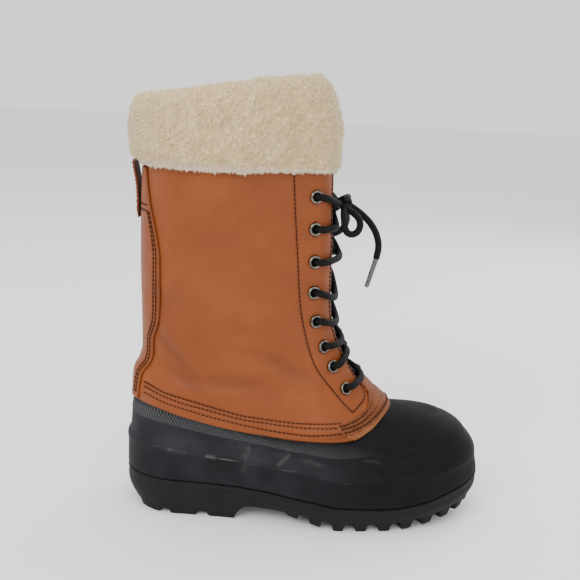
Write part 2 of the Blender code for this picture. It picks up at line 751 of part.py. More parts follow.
def cuff_point(u, row, lock):
    """A place on the cuff's skin: how far round the collar, which row, and its lock's height."""
    out, up = CUFF_SECTION["out"][row], CUFF_SECTION["up"][row]
    outside = out > 0
    turn = (1 - math.cos(math.pi * abs(u))) / 2
    rise = CUFF_INSIDE if not outside and up < 0 else mix(CUFF_RISE_BACK, CUFF_RISE_FRONT, turn)
    under = outside and up < CUFF_SECTION["up"][4]
    lift = CUFF_BACK_LIFT * max(0.0, 1.0 - abs(u) / CUFF_BACK_REACH) if under else 0.0
    ahead = max(0.0, (abs(u) - CUFF_FRONT_START) / (1 - CUFF_FRONT_START)) ** CUFF_FRONT_POWER
    flap = CUFF_FLAP * (mix(1.0, CUFF_FRONT_SHARE, ahead) if outside and row > 0 else 1.0)
    height = up * rise + lift + (lock if row in CUFF_TOP_ROWS else 0.0)
    lean = CUFF_LEAN * max(up, 0.0) ** 3 * turn ** 2
    level = out * flap - LEATHER_WALL / 2 + (lock if outside else -lock)
    return form(u, 8.0) + flat_out(u, 7.9) * level + Vector((-lean, 0, height))


def fur_cuff():
    """Shearling that straddles the collar, with staggered locks raised out of its skin."""
    marks = [i / CUFF_COLUMNS for i in range(-CUFF_COLUMNS + 1, CUFF_COLUMNS + 1)]
    vertices, loops = [], []
    for row in range(len(CUFF_SECTION["out"])):
        loops.append(list(range(len(vertices), len(vertices) + len(marks))))
        for column, u in enumerate(marks):
            lock = LOCK_HEIGHT if (row + column) % 2 else -LOCK_HEIGHT
            vertices.append(cuff_point(u, row, 0.0 if row in CUFF_PLAIN_ROWS else lock))
    return finish("fur_cuff", vertices, ring_surface(loops + loops[:1]), FLEECE, 0.95)


# Laces
def tube_mesh(path, radius, sides):
    """Vertices and faces of a capped tube along a path."""
    vertices, faces = [], []
    side_way = None
    for i, place in enumerate(path):
        ahead = (path[min(i + 1, len(path) - 1)] - path[max(i - 1, 0)]).normalized()
        if side_way is None:
            side_way = ahead.orthogonal().normalized()
        side_way = (side_way - ahead * side_way.dot(ahead)).normalized()
        third = ahead.cross(side_way)
        for k in range(sides):
            angle = 2 * math.pi * k / sides
            vertices.append(place + (side_way * math.cos(angle) + third * math.sin(angle)) * radius)
    for i in range(len(path) - 1):
        for k in range(sides):
            n = (k + 1) % sides
            faces.append([sides * i + k, sides * i + n, sides * (i + 1) + n, sides * (i + 1) + k])
    faces += [list(range(sides))[::-1], [sides * (len(path) - 1) + k for k in range(sides)]]
    return vertices, faces


def curve_points(points, count):
    """Read points evenly from a smooth curve through the given ones."""
    padded = [points[0] * 2 - points[1]] + list(points) + [points[-1] * 2 - points[-2]]
    fine = []
    for a, b, c, d in zip(padded, padded[1:], padded[2:], padded[3:]):
        for i in range(12):
            t = i / 12
            fine.append((b * 2 + (c - a) * t + (a * 2 - b * 5 + c * 4 - d) * t * t
                         + (b * 3 - a - c * 3 + d) * t ** 3) / 2)
    fine.append(points[-1])
    lengths = [0.0]
    for a, b in zip(fine, fine[1:]):
        lengths.append(lengths[-1] + (b - a).length)
    result = []
    for n in range(count):
        target = lengths[-1] * n / (count - 1)
        i = max(k for k in range(len(lengths) - 1) if lengths[k] <= target or k == 0)
        span = lengths[i + 1] - lengths[i]
        result.append(fine[i].lerp(fine[i + 1], (target - lengths[i]) / span))
    return result


# A strand over the throat: share of the way from one eyelet's row to the next, and lift in laces
STRAND = {
    "across": (0.00, 0.42, 0.80, 1.25, 2.00, 2.62),
    "climb":  (0.00, 0.01, 0.04, 0.12, 0.27, 0.48),
    "lift":   (1.12, 1.02, 0.92, 0.66, 0.10, 0.16),
}
NEAR_LIFT = 0.10


TOP_STRAND = {
    "across": (0.00, 0.42, 0.80, 1.25, 2.00, 2.75, 3.20, 3.58, 4.00),
    "drop":   (0.00, 0.01, 0.03, 0.07, 0.14, 0.07, 0.03, 0.01, 0.00),
    "lift":   (1.13, 1.02, 0.92, 0.50, -0.05, 0.50, 0.92, 1.02, 1.13),
}


def strand(side, level, next_level):
    """One strand: out of an eyelet, over the quarter's edge and across the throat."""
    points = []
    for across_it, climb, lift in zip(*STRAND.values()):
        v = mix(level, next_level, climb)
        edge = throat_edge(v)
        start = eyelet_line(v)
        if across_it <= 1.0:
            u = mix(start, edge, across_it)
        else:
            u = mix(edge, 2.0 - edge, (across_it - 1.0) / 2.0)
        lift += NEAR_LIFT if side > 0 else 0.0
        points.append(skin(wrap(side * u), v, lift * LACE_DIAMETER))
    return points


def lace_crossings():
    """Each crossing is two strands fused where they meet."""
    for number in range(1, len(EYELET_LEVELS)):
        level, above = EYELET_LEVELS[number], EYELET_LEVELS[number - 1]
        halves = []
        for side in (1, -1):
            vertices, faces = tube_mesh(strand(side, level, above), LACE_DIAMETER / 2, LACE_SIDES)
            halves.append(finish(f"lace_crossing_{number}" if side > 0 else f"strand_{number}",
                                 vertices, faces, LACE, 0.8))
        halves[1].hide_render = True
        halves[1].display_type = "WIRE"
        fuse = halves[0].modifiers.new("fuse", "BOOLEAN")
        fuse.operation = "UNION"
        fuse.solver = "EXACT"
        fuse.object = halves[1]


def lace_top():
    """The strand between the top eyelets, which the bow is tied from."""
    points = []
    level = EYELET_LEVELS[0]
    for across_it, drop, lift in zip(*TOP_STRAND.values()):
        v = level - drop
        edge, start = throat_edge(v), eyelet_line(v)
        if across_it <= 1.0:
            u = mix(start, edge, across_it)
        elif across_it <= 3.0:
            u = mix(edge, 2.0 - edge, (across_it - 1.0) / 2.0)
        else:
            u = 2.0 - mix(edge, start, across_it - 3.0)
        points.append(skin(wrap(u), v, lift * LACE_DIAMETER))
    vertices, faces = tube_mesh(points, LACE_DIAMETER / 2, LACE_SIDES)
    finish("lace_top", vertices, faces, LACE, 0.8)


CORD_STEP = 2.0


def cord(name, points, diameter):
    """A free lace part: a tube read from a smooth curve through its route."""
    length = sum((b - a).length for a, b in zip(points, points[1:]))
    count = max(4, round(length / (CORD_STEP * diameter)) + 1)
    curve = bpy.data.curves.new(name, "CURVE")
    curve.dimensions = "3D"
    curve.bevel_depth = diameter / 2
    curve.bevel_resolution = 2
    curve.use_fill_caps = True
    spline = curve.splines.new("POLY")
    route = curve_points(points, count)
    spline.points.add(len(route) - 1)
    for target, place in zip(spline.points, route):
        target.co = (*place, 1.0)
    piece = bpy.data.objects.new(name, curve)
    bpy.context.scene.collection.objects.link(piece)
    dress(piece, LACE, 0.8)


# Routes of the bow, chosen by hand, in metres
KNOT = ((0.1147, -0.0066, 0.2540), (0.1168, -0.0030, 0.2553), (0.1168, 0.0030, 0.2553),
        (0.1147, 0.0066, 0.2540))
LOOP_NEAR = ((0.1158, -0.0103, 0.2518), (0.1211, -0.0120, 0.2487), (0.1258, -0.0141, 0.2450),
             (0.1277, -0.0163, 0.2396), (0.1258, -0.0186, 0.2345), (0.1215, -0.0207, 0.2325),
             (0.1175, -0.0227, 0.2342), (0.1154, -0.0237, 0.2385), (0.1148, -0.0226, 0.2432),
             (0.1145, -0.0188, 0.2466))
LOOP_FAR = ((0.1160, 0.0106, 0.2508), (0.1150, 0.0218, 0.2508), (0.1115, 0.0338, 0.2467),
            (0.1045, 0.0438, 0.2387), (0.1025, 0.0478, 0.2297), (0.1080, 0.0448, 0.2227),
            (0.1160, 0.0348, 0.2277), (0.1195, 0.0248, 0.2367), (0.1182, 0.0165, 0.2445))
END_NEAR = ((0.1211, -0.0020, 0.2518), (0.1262, -0.0029, 0.2487), (0.1313, -0.0039, 0.2449),
            (0.1362, -0.0052, 0.2402), (0.1402, -0.0064, 0.2345), (0.1428, -0.0075, 0.2285),
            (0.1439, -0.0084, 0.2215), (0.1427, -0.0092, 0.2125))
END_FAR = ((0.1180, 0.0099, 0.2572), (0.1186, 0.0180, 0.2572), (0.1148, 0.0335, 0.2533),
           (0.1022, 0.0482, 0.2440), (0.0935, 0.0550, 0.2280), (0.0895, 0.0565, 0.2130))
AGLET_WAY_NEAR = (-0.26, -0.05, -0.96)
AGLET_WAY_FAR = (-0.10, 0.02, -1.0)


def vectors(route):
    return [Vector(place) for place in route]


def bow():
    cord("lace_knot", vectors(KNOT), KNOT_DIAMETER)
    cord("lace_loop_near", vectors(LOOP_NEAR), LACE_DIAMETER)
    cord("lace_loop_far", vectors(LOOP_FAR), LACE_DIAMETER)
    for name, route, way in (("near", END_NEAR, AGLET_WAY_NEAR), ("far", END_FAR, AGLET_WAY_FAR)):
        cord(f"lace_end_{name}", vectors(route), LACE_DIAMETER)
        way = Vector(way).normalized()
        tip = Vector(route[-1]) + way * 2 * CLEARANCE
        vertices, faces = tube_mesh([tip, tip + way * AGLET_LENGTH], AGLET_DIAMETER / 2, LACE_SIDES)
        finish(f"aglet_{name}", vertices, faces, NICKEL, 0.4)


def main():
    for item in list(bpy.data.objects):
        bpy.data.objects.remove(item, do_unlink=True)
    outsole()
    rubber_shell()
    insole()
    leather_upper()
    eyelets()
    vamp_band()
    tongue()
    backstay()
    pull_loop()
    fur_cuff()
    lace_crossings()
    lace_top()
    bow()


main()
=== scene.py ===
# %% [markdown]
# # A pac boot, dressed around its solids
# A pac boot is a leather shaft sewn to a moulded rubber bottom. Its solids are loaded first, as a
# fixed frame. Each piece below is made again with the detail that solids leave out, in the same
# place, and rides on the same body.

# %% Load the solids
import math

import bpy
import numpy as np
from mathutils import Matrix, Vector


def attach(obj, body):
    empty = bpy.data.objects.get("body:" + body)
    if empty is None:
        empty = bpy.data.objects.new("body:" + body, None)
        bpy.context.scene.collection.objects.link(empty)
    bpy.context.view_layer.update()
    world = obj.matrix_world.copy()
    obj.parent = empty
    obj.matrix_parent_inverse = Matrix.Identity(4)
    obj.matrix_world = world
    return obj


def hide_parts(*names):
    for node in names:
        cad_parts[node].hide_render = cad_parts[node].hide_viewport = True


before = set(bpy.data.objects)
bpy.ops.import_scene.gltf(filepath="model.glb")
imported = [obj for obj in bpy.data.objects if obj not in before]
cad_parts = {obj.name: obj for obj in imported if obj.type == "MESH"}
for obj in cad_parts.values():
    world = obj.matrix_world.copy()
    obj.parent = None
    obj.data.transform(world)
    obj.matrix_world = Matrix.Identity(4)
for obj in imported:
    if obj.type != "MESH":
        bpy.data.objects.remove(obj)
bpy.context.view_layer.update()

MM = 0.001

# %% [markdown]
# ## Camera
# The photograph was taken from the boot's outer side, a little above the collar's height and not
# far away, with the camera tipped down and slightly turned. A lens can be set from the picture's
# width in pixels and the distance in pixels at which one metre looks one metre wide.

# %% Camera
FRAME_PIXELS = 580
FOCAL_PIXELS = 835.0
SENSOR_WIDTH = 36.0
CAMERA_AT = Vector((0.076, -0.66, 0.3255))
CAMERA_TIP = math.radians(12.3)
CAMERA_TURN = math.radians(3.0)

lens = bpy.data.cameras.new("camera")
lens.sensor_fit = "HORIZONTAL"
lens.sensor_width = SENSOR_WIDTH
lens.lens = FOCAL_PIXELS * SENSOR_WIDTH / FRAME_PIXELS
camera = bpy.data.objects.new("camera", lens)
camera.matrix_world = (Matrix.Translation(CAMERA_AT)
                       @ Matrix.Rotation(math.pi / 2 - CAMERA_TIP, 4, "X")
                       @ Matrix.Rotation(CAMERA_TURN, 4, "Z"))
bpy.context.scene.collection.objects.link(camera)
bpy.context.scene.camera = camera
print("lens", round(lens.lens, 1), "mm")

# %% [markdown]
# ## The boot's form
# All the soft and moulded pieces follow one shape, so it is written once. A place on it has a
# fraction u, from 0 at the back of the heel to 1 at the front (minus on the inner side), and a
# level v: -1 at the feather line, 0 at the top of the foxing, 1 at the leather's lower edge and 8
# at the collar. These sizes and tables are those of the solids.

# %% Sizes of the form
SOLE_LENGTH = 0.2905
BALL_WIDTH = 0.118
HEEL_WIDTH = 0.086
TOE_BEND = 0.009
TOE_BEND_FROM = 0.45
HEEL_ROUND = 0.044
HEEL_SEAT = 0.0505
TOE_ROUND = 0.074
SOLE_THICKNESS = 0.0315
LUG_DEPTH = 0.0062
FOXING_HEIGHT = 0.0245
FOXING_LEAN = 0.0035
EDGE_HEIGHT = 0.0890
EDGE_LENGTH = 0.2122
EDGE_WIDTH = 0.099
EDGE_DIP = 0.0165
COLLAR_HEIGHT = 0.2845
SHAFT_DEPTH = 0.1482
SHAFT_WIDTH = 0.112
OUTLINE = {
    "along":   (0.00, 0.12, 0.25, 0.38, 0.50, 0.62, 0.74, 0.86, 1.00),
    "of_ball": (0.00, 0.00, 0.10, 0.35, 0.70, 1.00, 1.00, 1.00, 1.00),
    "lateral": (0.48, 0.50, 0.50, 0.50, 0.51, 0.515, 0.50, 0.47, 0.44),
    "medial":  (0.48, 0.50, 0.48, 0.44, 0.43, 0.455, 0.485, 0.48, 0.45),
}
SIDE = {
    "along": (0.00, 0.06, 0.12, 0.310, 0.345, 0.42, 0.52, 0.60, 0.72, 0.82, 0.91, 1.00),
    "base":  (0.29, 0.15, 0.127, 0.127, 0.365, 0.365, 0.28, 0.197, 0.197, 0.273, 0.406, 0.565),
    "top":   (1.00, 1.01, 1.00, 0.963, 0.942, 0.886, 0.783, 0.703, 0.68, 0.771, 0.966, 1.183),
    "lug":   (0.60, 0.645, 0.645, 0.645, 0.30, 0.20, 0.80, 1.00, 1.00, 1.00, 1.00, 0.85),
    "foxing": (1.06, 1.04, 1.00, 1.00, 1.00, 0.97, 0.95, 0.92, 0.90, 0.88, 0.80, 0.62),
}
DIP = {
    "along": (0.00, 0.08, 0.20, 0.35, 0.50, 0.70, 0.82, 0.90, 0.96, 1.00),
    "share": (0.00, 0.04, 0.30, 0.68, 0.88, 1.00, 0.97, 0.72, 0.30, 0.00),
}
LOOPS = {
    "level":      (1.0, 2.0, 3.0, 4.0, 5.0, 6.0, 7.0, 8.0),
    "rise_back":  (0.000, 0.105, 0.165, 0.225, 0.356, 0.588, 0.794, 1.000),
    "rise_front": (0.012, 0.078, 0.145, 0.219, 0.356, 0.577, 0.794, 1.000),
    "dip":        (1.000, 0.700, 0.450, 0.250, 0.080, 0.000, 0.000, 0.000),
    "back":       (0.0076, 0.0119, 0.0282, 0.0364, 0.0344, 0.0293, 0.0282, 0.0313),
    "shaft":      (0.000, 0.300, 0.500, 0.700, 0.880, 1.000, 1.000, 1.000),
    "deep":       (1.000, 1.000, 0.984, 0.990, 0.993, 1.028, 1.017, 1.000),
    "wide":       (1.000, 0.900, 0.830, 0.810, 0.850, 0.920, 0.965, 1.000),
    "taper":      (0.000, 0.060, 0.160, 0.280, 0.400, 0.480, 0.490, 0.480),
    "nose":       (0.420, 0.360, 0.270, 0.185, 0.120, 0.090, 0.090, 0.090),
}
TURN = {
    "u":     (0.00, 0.30, 0.55, 0.75, 0.88, 1.00),
    "angle": (22.0, 32.0, 48.0, 72.0, 86.0, 90.0),
}
CAP_POWER = 2.15
TAPER_START = 0.35
TAPER_POWER = 1.6
DOME_POWER = 2.5
print("form:", len(LOOPS["level"]), "levels of leather")

# %% Curves through tables
def smooth(table, column, at):
    """Monotone cubic through a table's rows, for one place or many."""
    xs = np.array(next(iter(table.values())), float)
    ys = np.array(table[column], float)
    spans = np.diff(xs)
    slopes = np.diff(ys) / spans
    before, after = slopes[:-1], slopes[1:]
    turning = before * after <= 0
    inner = np.where(turning, 0.0, 2 * before * after / np.where(turning, 1.0, before + after))
    tangents = np.concatenate([slopes[:1], inner, slopes[-1:]])
    at = np.clip(at, xs[0], xs[-1])
    i = np.clip(np.searchsorted(xs, at, side="right") - 1, 0, len(spans) - 1)
    t = (at - xs[i]) / spans[i]
    a, b = tangents[i] * spans[i], tangents[i + 1] * spans[i]
    return (ys[i] * (1 + 2 * t) * (1 - t) ** 2 + a * t * (1 - t) ** 2
            + ys[i + 1] * t * t * (3 - 2 * t) + b * t * t * (t - 1))


def mix(a, b, t):
    return a + (b - a) * t


def ease(low, high, at):
    """0 below low, 1 above high, with a soft start and end."""
    t = np.clip((at - low) / (high - low), 0.0, 1.0)
    return t * t * (3 - 2 * t)


def unit(vectors, least=0.0):
    """Vectors cut to a length of 1."""
    return vectors / np.maximum(np.linalg.norm(vectors, axis=-1, keepdims=True), least)


def distances(path):
    """How far along a path each of its points lies."""
    steps = np.linalg.norm(np.diff(path, axis=0), axis=1)
    return np.concatenate([[0.0], np.cumsum(steps)])


# %% [markdown]
# The form is worked out once on a fine net of fractions and levels, with its normals. Every later
# piece then reads its points from that net, which is quick even for a hundred thousand points.

# %% The form's net
HALF_SAMPLES = 300
NET_FRACTIONS = np.linspace(-1.0, 1.0, 1001)
NET_STEP = 0.02
NET_LEVELS = np.arange(-1.0, 8.0 + NET_STEP / 2, NET_STEP)


def cap(distance, size):
    """1 along the sides of a loop, falling round to 0 at its end."""
    t = 1.0 - np.clip(distance / size, 0.0, 1.0)
    return (1.0 - t ** CAP_POWER) ** (1.0 / CAP_POWER)


def bend(x):
    """How far the boot's middle line leans to the inner side."""
    return TOE_BEND * ease(TOE_BEND_FROM, 1.0, x / SOLE_LENGTH)


def loop_half(level, side):
    """One side of the loop at a level, from the heel to the front."""
    share = 0.5 - 0.5 * np.cos(np.pi * np.linspace(0, 1, HALF_SAMPLES + 1))
    if level <= 0:
        x = SOLE_LENGTH * share
        width = mix(HEEL_WIDTH, BALL_WIDTH, smooth(OUTLINE, "of_ball", share))
        half = width * smooth(OUTLINE, side, share)
        half = half * cap(x, HEEL_ROUND) * cap(SOLE_LENGTH - x, TOE_ROUND)
        x = x - FOXING_LEAN * (1.0 + level) * share ** 2
        foxing = FOXING_HEIGHT * smooth(SIDE, "foxing", share)
        z = SOLE_THICKNESS * smooth(SIDE, "top", share) + foxing * (1.0 + level)
    else:
        to_shaft = smooth(LOOPS, "shaft", level)
        depth = mix(EDGE_LENGTH, SHAFT_DEPTH, to_shaft) * smooth(LOOPS, "deep", level)
        width = mix(EDGE_WIDTH, SHAFT_WIDTH, to_shaft) * smooth(LOOPS, "wide", level)
        x = SOLE_LENGTH * smooth(LOOPS, "back", level) + depth * share
        taper = np.maximum((share - TAPER_START) / (1 - TAPER_START), 0.0) ** TAPER_POWER
        half = width / 2 * (1 - smooth(LOOPS, "taper", level) * taper)
        half = half * cap(depth * share, depth / 2)
        half = half * cap(depth * (1 - share), depth * smooth(LOOPS, "nose", level))
        rise = mix(smooth(LOOPS, "rise_back", level), smooth(LOOPS, "rise_front", level), share)
        dip = EDGE_DIP * smooth(DIP, "share", share) * smooth(LOOPS, "dip", level)
        z = mix(EDGE_HEIGHT, COLLAR_HEIGHT, rise) - dip
    sign = -1.0 if side == "lateral" else 1.0
    return np.stack([x - HEEL_SEAT, bend(x) + sign * half, z], -1)


def net_row(level):
    """A whole loop of the net: the inner side backwards, then the outer side."""
    row = np.empty((len(NET_FRACTIONS), 3))
    for side, chosen in (("medial", NET_FRACTIONS < 0), ("lateral", NET_FRACTIONS >= 0)):
        points = loop_half(level, side)
        lengths = distances(points)
        target = np.abs(NET_FRACTIONS[chosen]) * lengths[-1]
        for axis in range(3):
            row[chosen, axis] = np.interp(target, lengths, points[:, axis])
    return row, lengths[-1]


def build_net():
    low, high = net_row(0.0)[0], net_row(1.0)[0]
    full = np.radians(smooth(TURN, "angle", np.abs(NET_FRACTIONS)))
    power = 2.0 / DOME_POWER
    rows, lengths = [], []
    for level in NET_LEVELS:
        row, length = net_row(level)
        if 0 < level < 1:
            angle = full * level
            out = (1 - np.cos(angle) ** power) / (1 - np.maximum(np.cos(full), 0.0) ** power)
            up = np.sin(angle) ** power / np.sin(full) ** power
            row = np.stack([mix(low[:, 0], high[:, 0], out), mix(low[:, 1], high[:, 1], out),
                            mix(low[:, 2], high[:, 2], up)], -1)
        rows.append(row)
        lengths.append(length)
    net = np.array(rows)
    padded = np.concatenate([net[:, -2:-1], net, net[:, 1:2]], axis=1)
    along = padded[:, 2:] - padded[:, :-2]
    up = np.gradient(net, axis=0)
    return net, unit(np.cross(along, up)), np.array(lengths)


NET, NET_NORMAL, HALF_LENGTHS = build_net()
print("net:", NET.shape, "half loop at the collar", round(HALF_LENGTHS[-1] / MM), "mm")


# %% Read the net
def wrap(u):
    """Keep fractions on the loop, crossing to the other side at the front."""
    return (np.asarray(u, float) + 1.0) % 2.0 - 1.0


def read_net(values, u, v):
    """Values of the net between its points."""
    u, v = np.broadcast_arrays(wrap(u), np.asarray(v, float))
    x = (u + 1.0) / 2.0 * (len(NET_FRACTIONS) - 1)
    y = np.clip((v - NET_LEVELS[0]) / NET_STEP, 0.0, len(NET_LEVELS) - 1.001)
    i, j = np.minimum(x.astype(int), len(NET_FRACTIONS) - 2), y.astype(int)
    s, t = (x - i)[..., None], (y - j)[..., None]
    return ((values[j, i] * (1 - s) + values[j, i + 1] * s) * (1 - t)
            + (values[j + 1, i] * (1 - s) + values[j + 1, i + 1] * s) * t)


def skin(u, v, offset=0.0):
    """Points at a distance outside the form, or inside it if negative."""
    normal = unit(read_net(NET_NORMAL, u, v))
    return read_net(NET, u, v) + normal * np.asarray(offset, float)[..., None]


def half_length(v):
    return np.interp(v, NET_LEVELS, HALF_LENGTHS)


print("collar's back at", np.round(skin(0.0, 8.0) / MM, 1), "mm")

# %% [markdown]
# The throat is the opening that the laces close. Its edge lies a set distance from the front on the
# shaft and swings back to a point at the vamp. The row of eyelets lies behind that edge.

# %% Throat and eyelet rows
THROAT_HALF_GAP = 0.0165
THROAT_FOOT = 0.855
TAB_LEVEL = 1.36
UNDER_TAB = 0.05
BAND_UNDER_TAB = 0.12
BAND_LAP = 0.004
EYELET_INSET = 0.0215
EYELET_LEVELS = (7.42, 6.82, 6.22, 5.68, 5.18, 4.58, 3.92, 2.72)
THROAT = {
    "level": (1.0, 1.36, 1.7, 2.05, 2.7, 4.6, 5.4, 8.0),
    "edge":  (0.00, 0.12, 0.70, 1.10, 1.20, 1.15, 1.00, 1.00),
}
EYELET_LINE = {
    "level": (2.7, 4.0, 5.0, 6.2, 8.0),
    "inset": (0.90, 0.94, 1.00, 1.09, 1.12),
}

def throat_edge(v, back_off=0.0):
    """Fraction of the throat's edge at a level, or of a line set back from it."""
    length = half_length(v)
    shaft = 1.0 - THROAT_HALF_GAP / length
    return mix(THROAT_FOOT, shaft, smooth(THROAT, "edge", v)) - back_off / length


def eyelet_line(v):
    return throat_edge(v, EYELET_INSET * smooth(EYELET_LINE, "inset", v))


print("top eyelet at", np.round(skin(eyelet_line(7.42), 7.42) / MM, 1), "mm")

# %% [markdown]
# ## Helpers for meshes
# A dense mesh is quickest to make from arrays: points, faces and one UV place for each point. The
# UVs are in metres on the real surface, so weave and grain come out at their true size.

# %% Mesh helpers
BODY = "root"


def make_mesh(name, points, faces, uv=None, marks=None, finish=None, flat=False):
    """One object from arrays; faces is a list of arrays, each with one row for a face."""
    points = np.ascontiguousarray(points, np.float32)
    faces = [np.asarray(block, np.int32) for block in faces if len(block)]
    corners = np.concatenate([block.ravel() for block in faces])
    sizes = np.concatenate([np.full(len(block), block.shape[1]) for block in faces])
    mesh = bpy.data.meshes.new(name)
    mesh.vertices.add(len(points))
    mesh.vertices.foreach_set("co", points.ravel())
    mesh.loops.add(len(corners))
    mesh.loops.foreach_set("vertex_index", corners)
    mesh.polygons.add(len(sizes))
    mesh.polygons.foreach_set("loop_start", np.concatenate([[0], np.cumsum(sizes)[:-1]]))
    if uv is not None:
        layer = mesh.uv_layers.new(name="UVMap")
        layer.uv.foreach_set("vector", np.asarray(uv, np.float32)[corners].ravel())
    for key, values in (marks or {}).items():
        mark = mesh.attributes.new(key, "FLOAT", "POINT")
        mark.data.foreach_set("value", np.ascontiguousarray(values, np.float32).ravel())
    mesh.update(calc_edges=True)
    mesh.validate()
    mesh.polygons.foreach_set("use_smooth", np.full(len(mesh.polygons), not flat))
    piece = bpy.data.objects.new(name, mesh)
    bpy.context.scene.collection.objects.link(piece)
    if finish is not None:
        mesh.materials.append(finish.material)
    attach(piece, BODY)
    return piece


def grid_faces(rows, columns, closed=False, keep=None, start=0):
    """Quads of a grid of points; closed joins the last column to the first."""
    last = columns if closed else columns - 1
    j, i = np.meshgrid(np.arange(rows - 1), np.arange(last), indexing="ij")
    n = (i + 1) % columns
    quads = np.stack([j * columns + i, j * columns + n, (j + 1) * columns + n,
                      (j + 1) * columns + i], -1)
    chosen = quads.reshape(-1, 4) if keep is None else quads[keep]
    return chosen + start


def measured_uv(points):
    """UVs in metres: along each row, and up each column."""
    steps = np.linalg.norm(np.diff(points, axis=1), axis=-1)
    along = np.concatenate([np.zeros((len(points), 1)), np.cumsum(steps, axis=1)], axis=1)
    steps = np.linalg.norm(np.diff(points, axis=0), axis=-1)
    up = np.concatenate([np.zeros((1, points.shape[1])), np.cumsum(steps, axis=0)], axis=0)
    return np.stack([along - along[:, -1:] / 2, up], -1)


def walled(name, u, v, outer, inner, finish, keep=None, marks=None):
    """A sheet of the form with a wall. Cells outside keep are left out, and their edges closed."""
    u, v, outer, inner = np.broadcast_arrays(u, v, outer, inner)
    rows, columns = u.shape
    top, under = skin(u, v, outer), skin(u, v, inner)
    if keep is None:
        keep = np.ones((rows - 1, columns - 1), bool)
    half = rows * columns
    quads = grid_faces(rows, columns, keep=keep)
    blocks = [quads, quads[:, ::-1] + half]
    padded = np.pad(keep, 1)
    corner = np.arange(half).reshape(rows, columns)
    sides = (
        (padded[:-2, 1:-1], corner[:-1, :-1], corner[:-1, 1:]),
        (padded[1:-1, 2:], corner[:-1, 1:], corner[1:, 1:]),
        (padded[2:, 1:-1], corner[1:, 1:], corner[1:, :-1]),
        (padded[1:-1, :-2], corner[1:, :-1], corner[:-1, :-1]),
    )
    for neighbour, a, b in sides:
        rim = keep & ~neighbour
        a, b = a[rim], b[rim]
        blocks.append(np.stack([a, a + half, b + half, b], -1))
    uv = measured_uv(top).reshape(-1, 2)
    layers = {key: np.concatenate([np.ravel(value)] * 2) for key, value in (marks or {}).items()}
    layers["inside"] = np.concatenate([np.zeros(half), np.ones(half)])
    points = np.concatenate([top.reshape(-1, 3), under.reshape(-1, 3)])
    used = np.unique(np.concatenate([block.ravel() for block in blocks]))
    place = np.full(len(points), -1)
    place[used] = np.arange(len(used))
    blocks = [place[block] for block in blocks]
    layers = {key: value[used] for key, value in layers.items()}
    return make_mesh(name, points[used], blocks, np.concatenate([uv, uv])[used], layers, finish)


CURVE_STEPS = 24
FIRST_UP = (0.0, 0.3, 1.0)


def through(points, step):
    """Even steps along a smooth curve through the given points."""
    points = np.asarray(points, float)
    padded = np.concatenate([[2 * points[0] - points[1]], points, [2 * points[-1] - points[-2]]])
    t = np.linspace(0, 1, CURVE_STEPS, endpoint=False)[:, None]
    fine = []
    for a, b, c, d in zip(padded, padded[1:], padded[2:], padded[3:]):
        fine.append((2 * b + (c - a) * t + (2 * a - 5 * b + 4 * c - d) * t ** 2
                     + (3 * b - a - 3 * c + d) * t ** 3) / 2)
    fine = np.concatenate(fine + [points[-1:]])
    lengths = distances(fine)
    count = max(int(round(lengths[-1] / step)), 2) + 1
    at = np.linspace(0, lengths[-1], count)
    return np.stack([np.interp(at, lengths, fine[:, axis]) for axis in range(3)], -1)


def path_length(path):
    return float(np.linalg.norm(np.diff(path, axis=0), axis=1).sum())


def tube(path, radius, sides, taper=None):
    """Points, faces and UVs of a round tube along a path, closed at both ends."""
    path = np.asarray(path, float)
    ahead = unit(np.gradient(path, axis=0))
    side = np.empty_like(path)
    first = np.cross(ahead[0], FIRST_UP)
    side[0] = first / np.linalg.norm(first)
    for i in range(1, len(path)):
        turned = side[i - 1] - ahead[i] * side[i - 1].dot(ahead[i])
        side[i] = turned / np.linalg.norm(turned)
    third = np.cross(ahead, side)
    angle = 2 * np.pi * np.arange(sides) / sides
    width = np.full(len(path), radius) if taper is None else radius * np.asarray(taper)
    ring = (side[:, None] * np.cos(angle)[:, None] + third[:, None] * np.sin(angle)[:, None])
    points = (path[:, None] + ring * width[:, None, None]).reshape(-1, 3)
    along = distances(path)
    around = np.abs(2 * np.arange(sides) / sides - 1) * np.pi * radius
    uv = np.stack(np.broadcast_arrays(around[None], along[:, None]), -1).reshape(-1, 2)
    quads = grid_faces(len(path), sides, closed=True)
    ends = np.concatenate([path[:1], path[-1:]])
    points = np.concatenate([points, ends])
    uv = np.concatenate([uv, [[0, 0]], [[0, along[-1]]]])
    i = np.arange(sides)
    n = (i + 1) % sides
    last = (len(path) - 1) * sides
    foot, head = len(points) - 2, len(points) - 1
    caps = np.concatenate([np.stack([n, i, np.full(sides, foot)], -1),
                           np.stack([last + i, last + n, np.full(sides, head)], -1)])
    return points, [quads, caps], uv


def join(parts):
    """One set of points, faces and UVs from several."""
    points, faces, uvs, start = [], [], [], 0
    for part, blocks, uv in parts:
        points.append(part)
        uvs.append(uv)
        faces += [block + start for block in blocks]
        start += len(part)
    return np.concatenate(points), faces, np.concatenate(uvs)


print("mesh helpers ready")

# %% [markdown]
# ## Helpers for finishes
# Shader sums are easier to read as Python than as wires. A Signal wraps one socket, and each
# operator on it adds a Math node. A Finish is one material: it sets the constant sockets of its
# shader, adds any other node by its type, and feeds what varies over the surface.

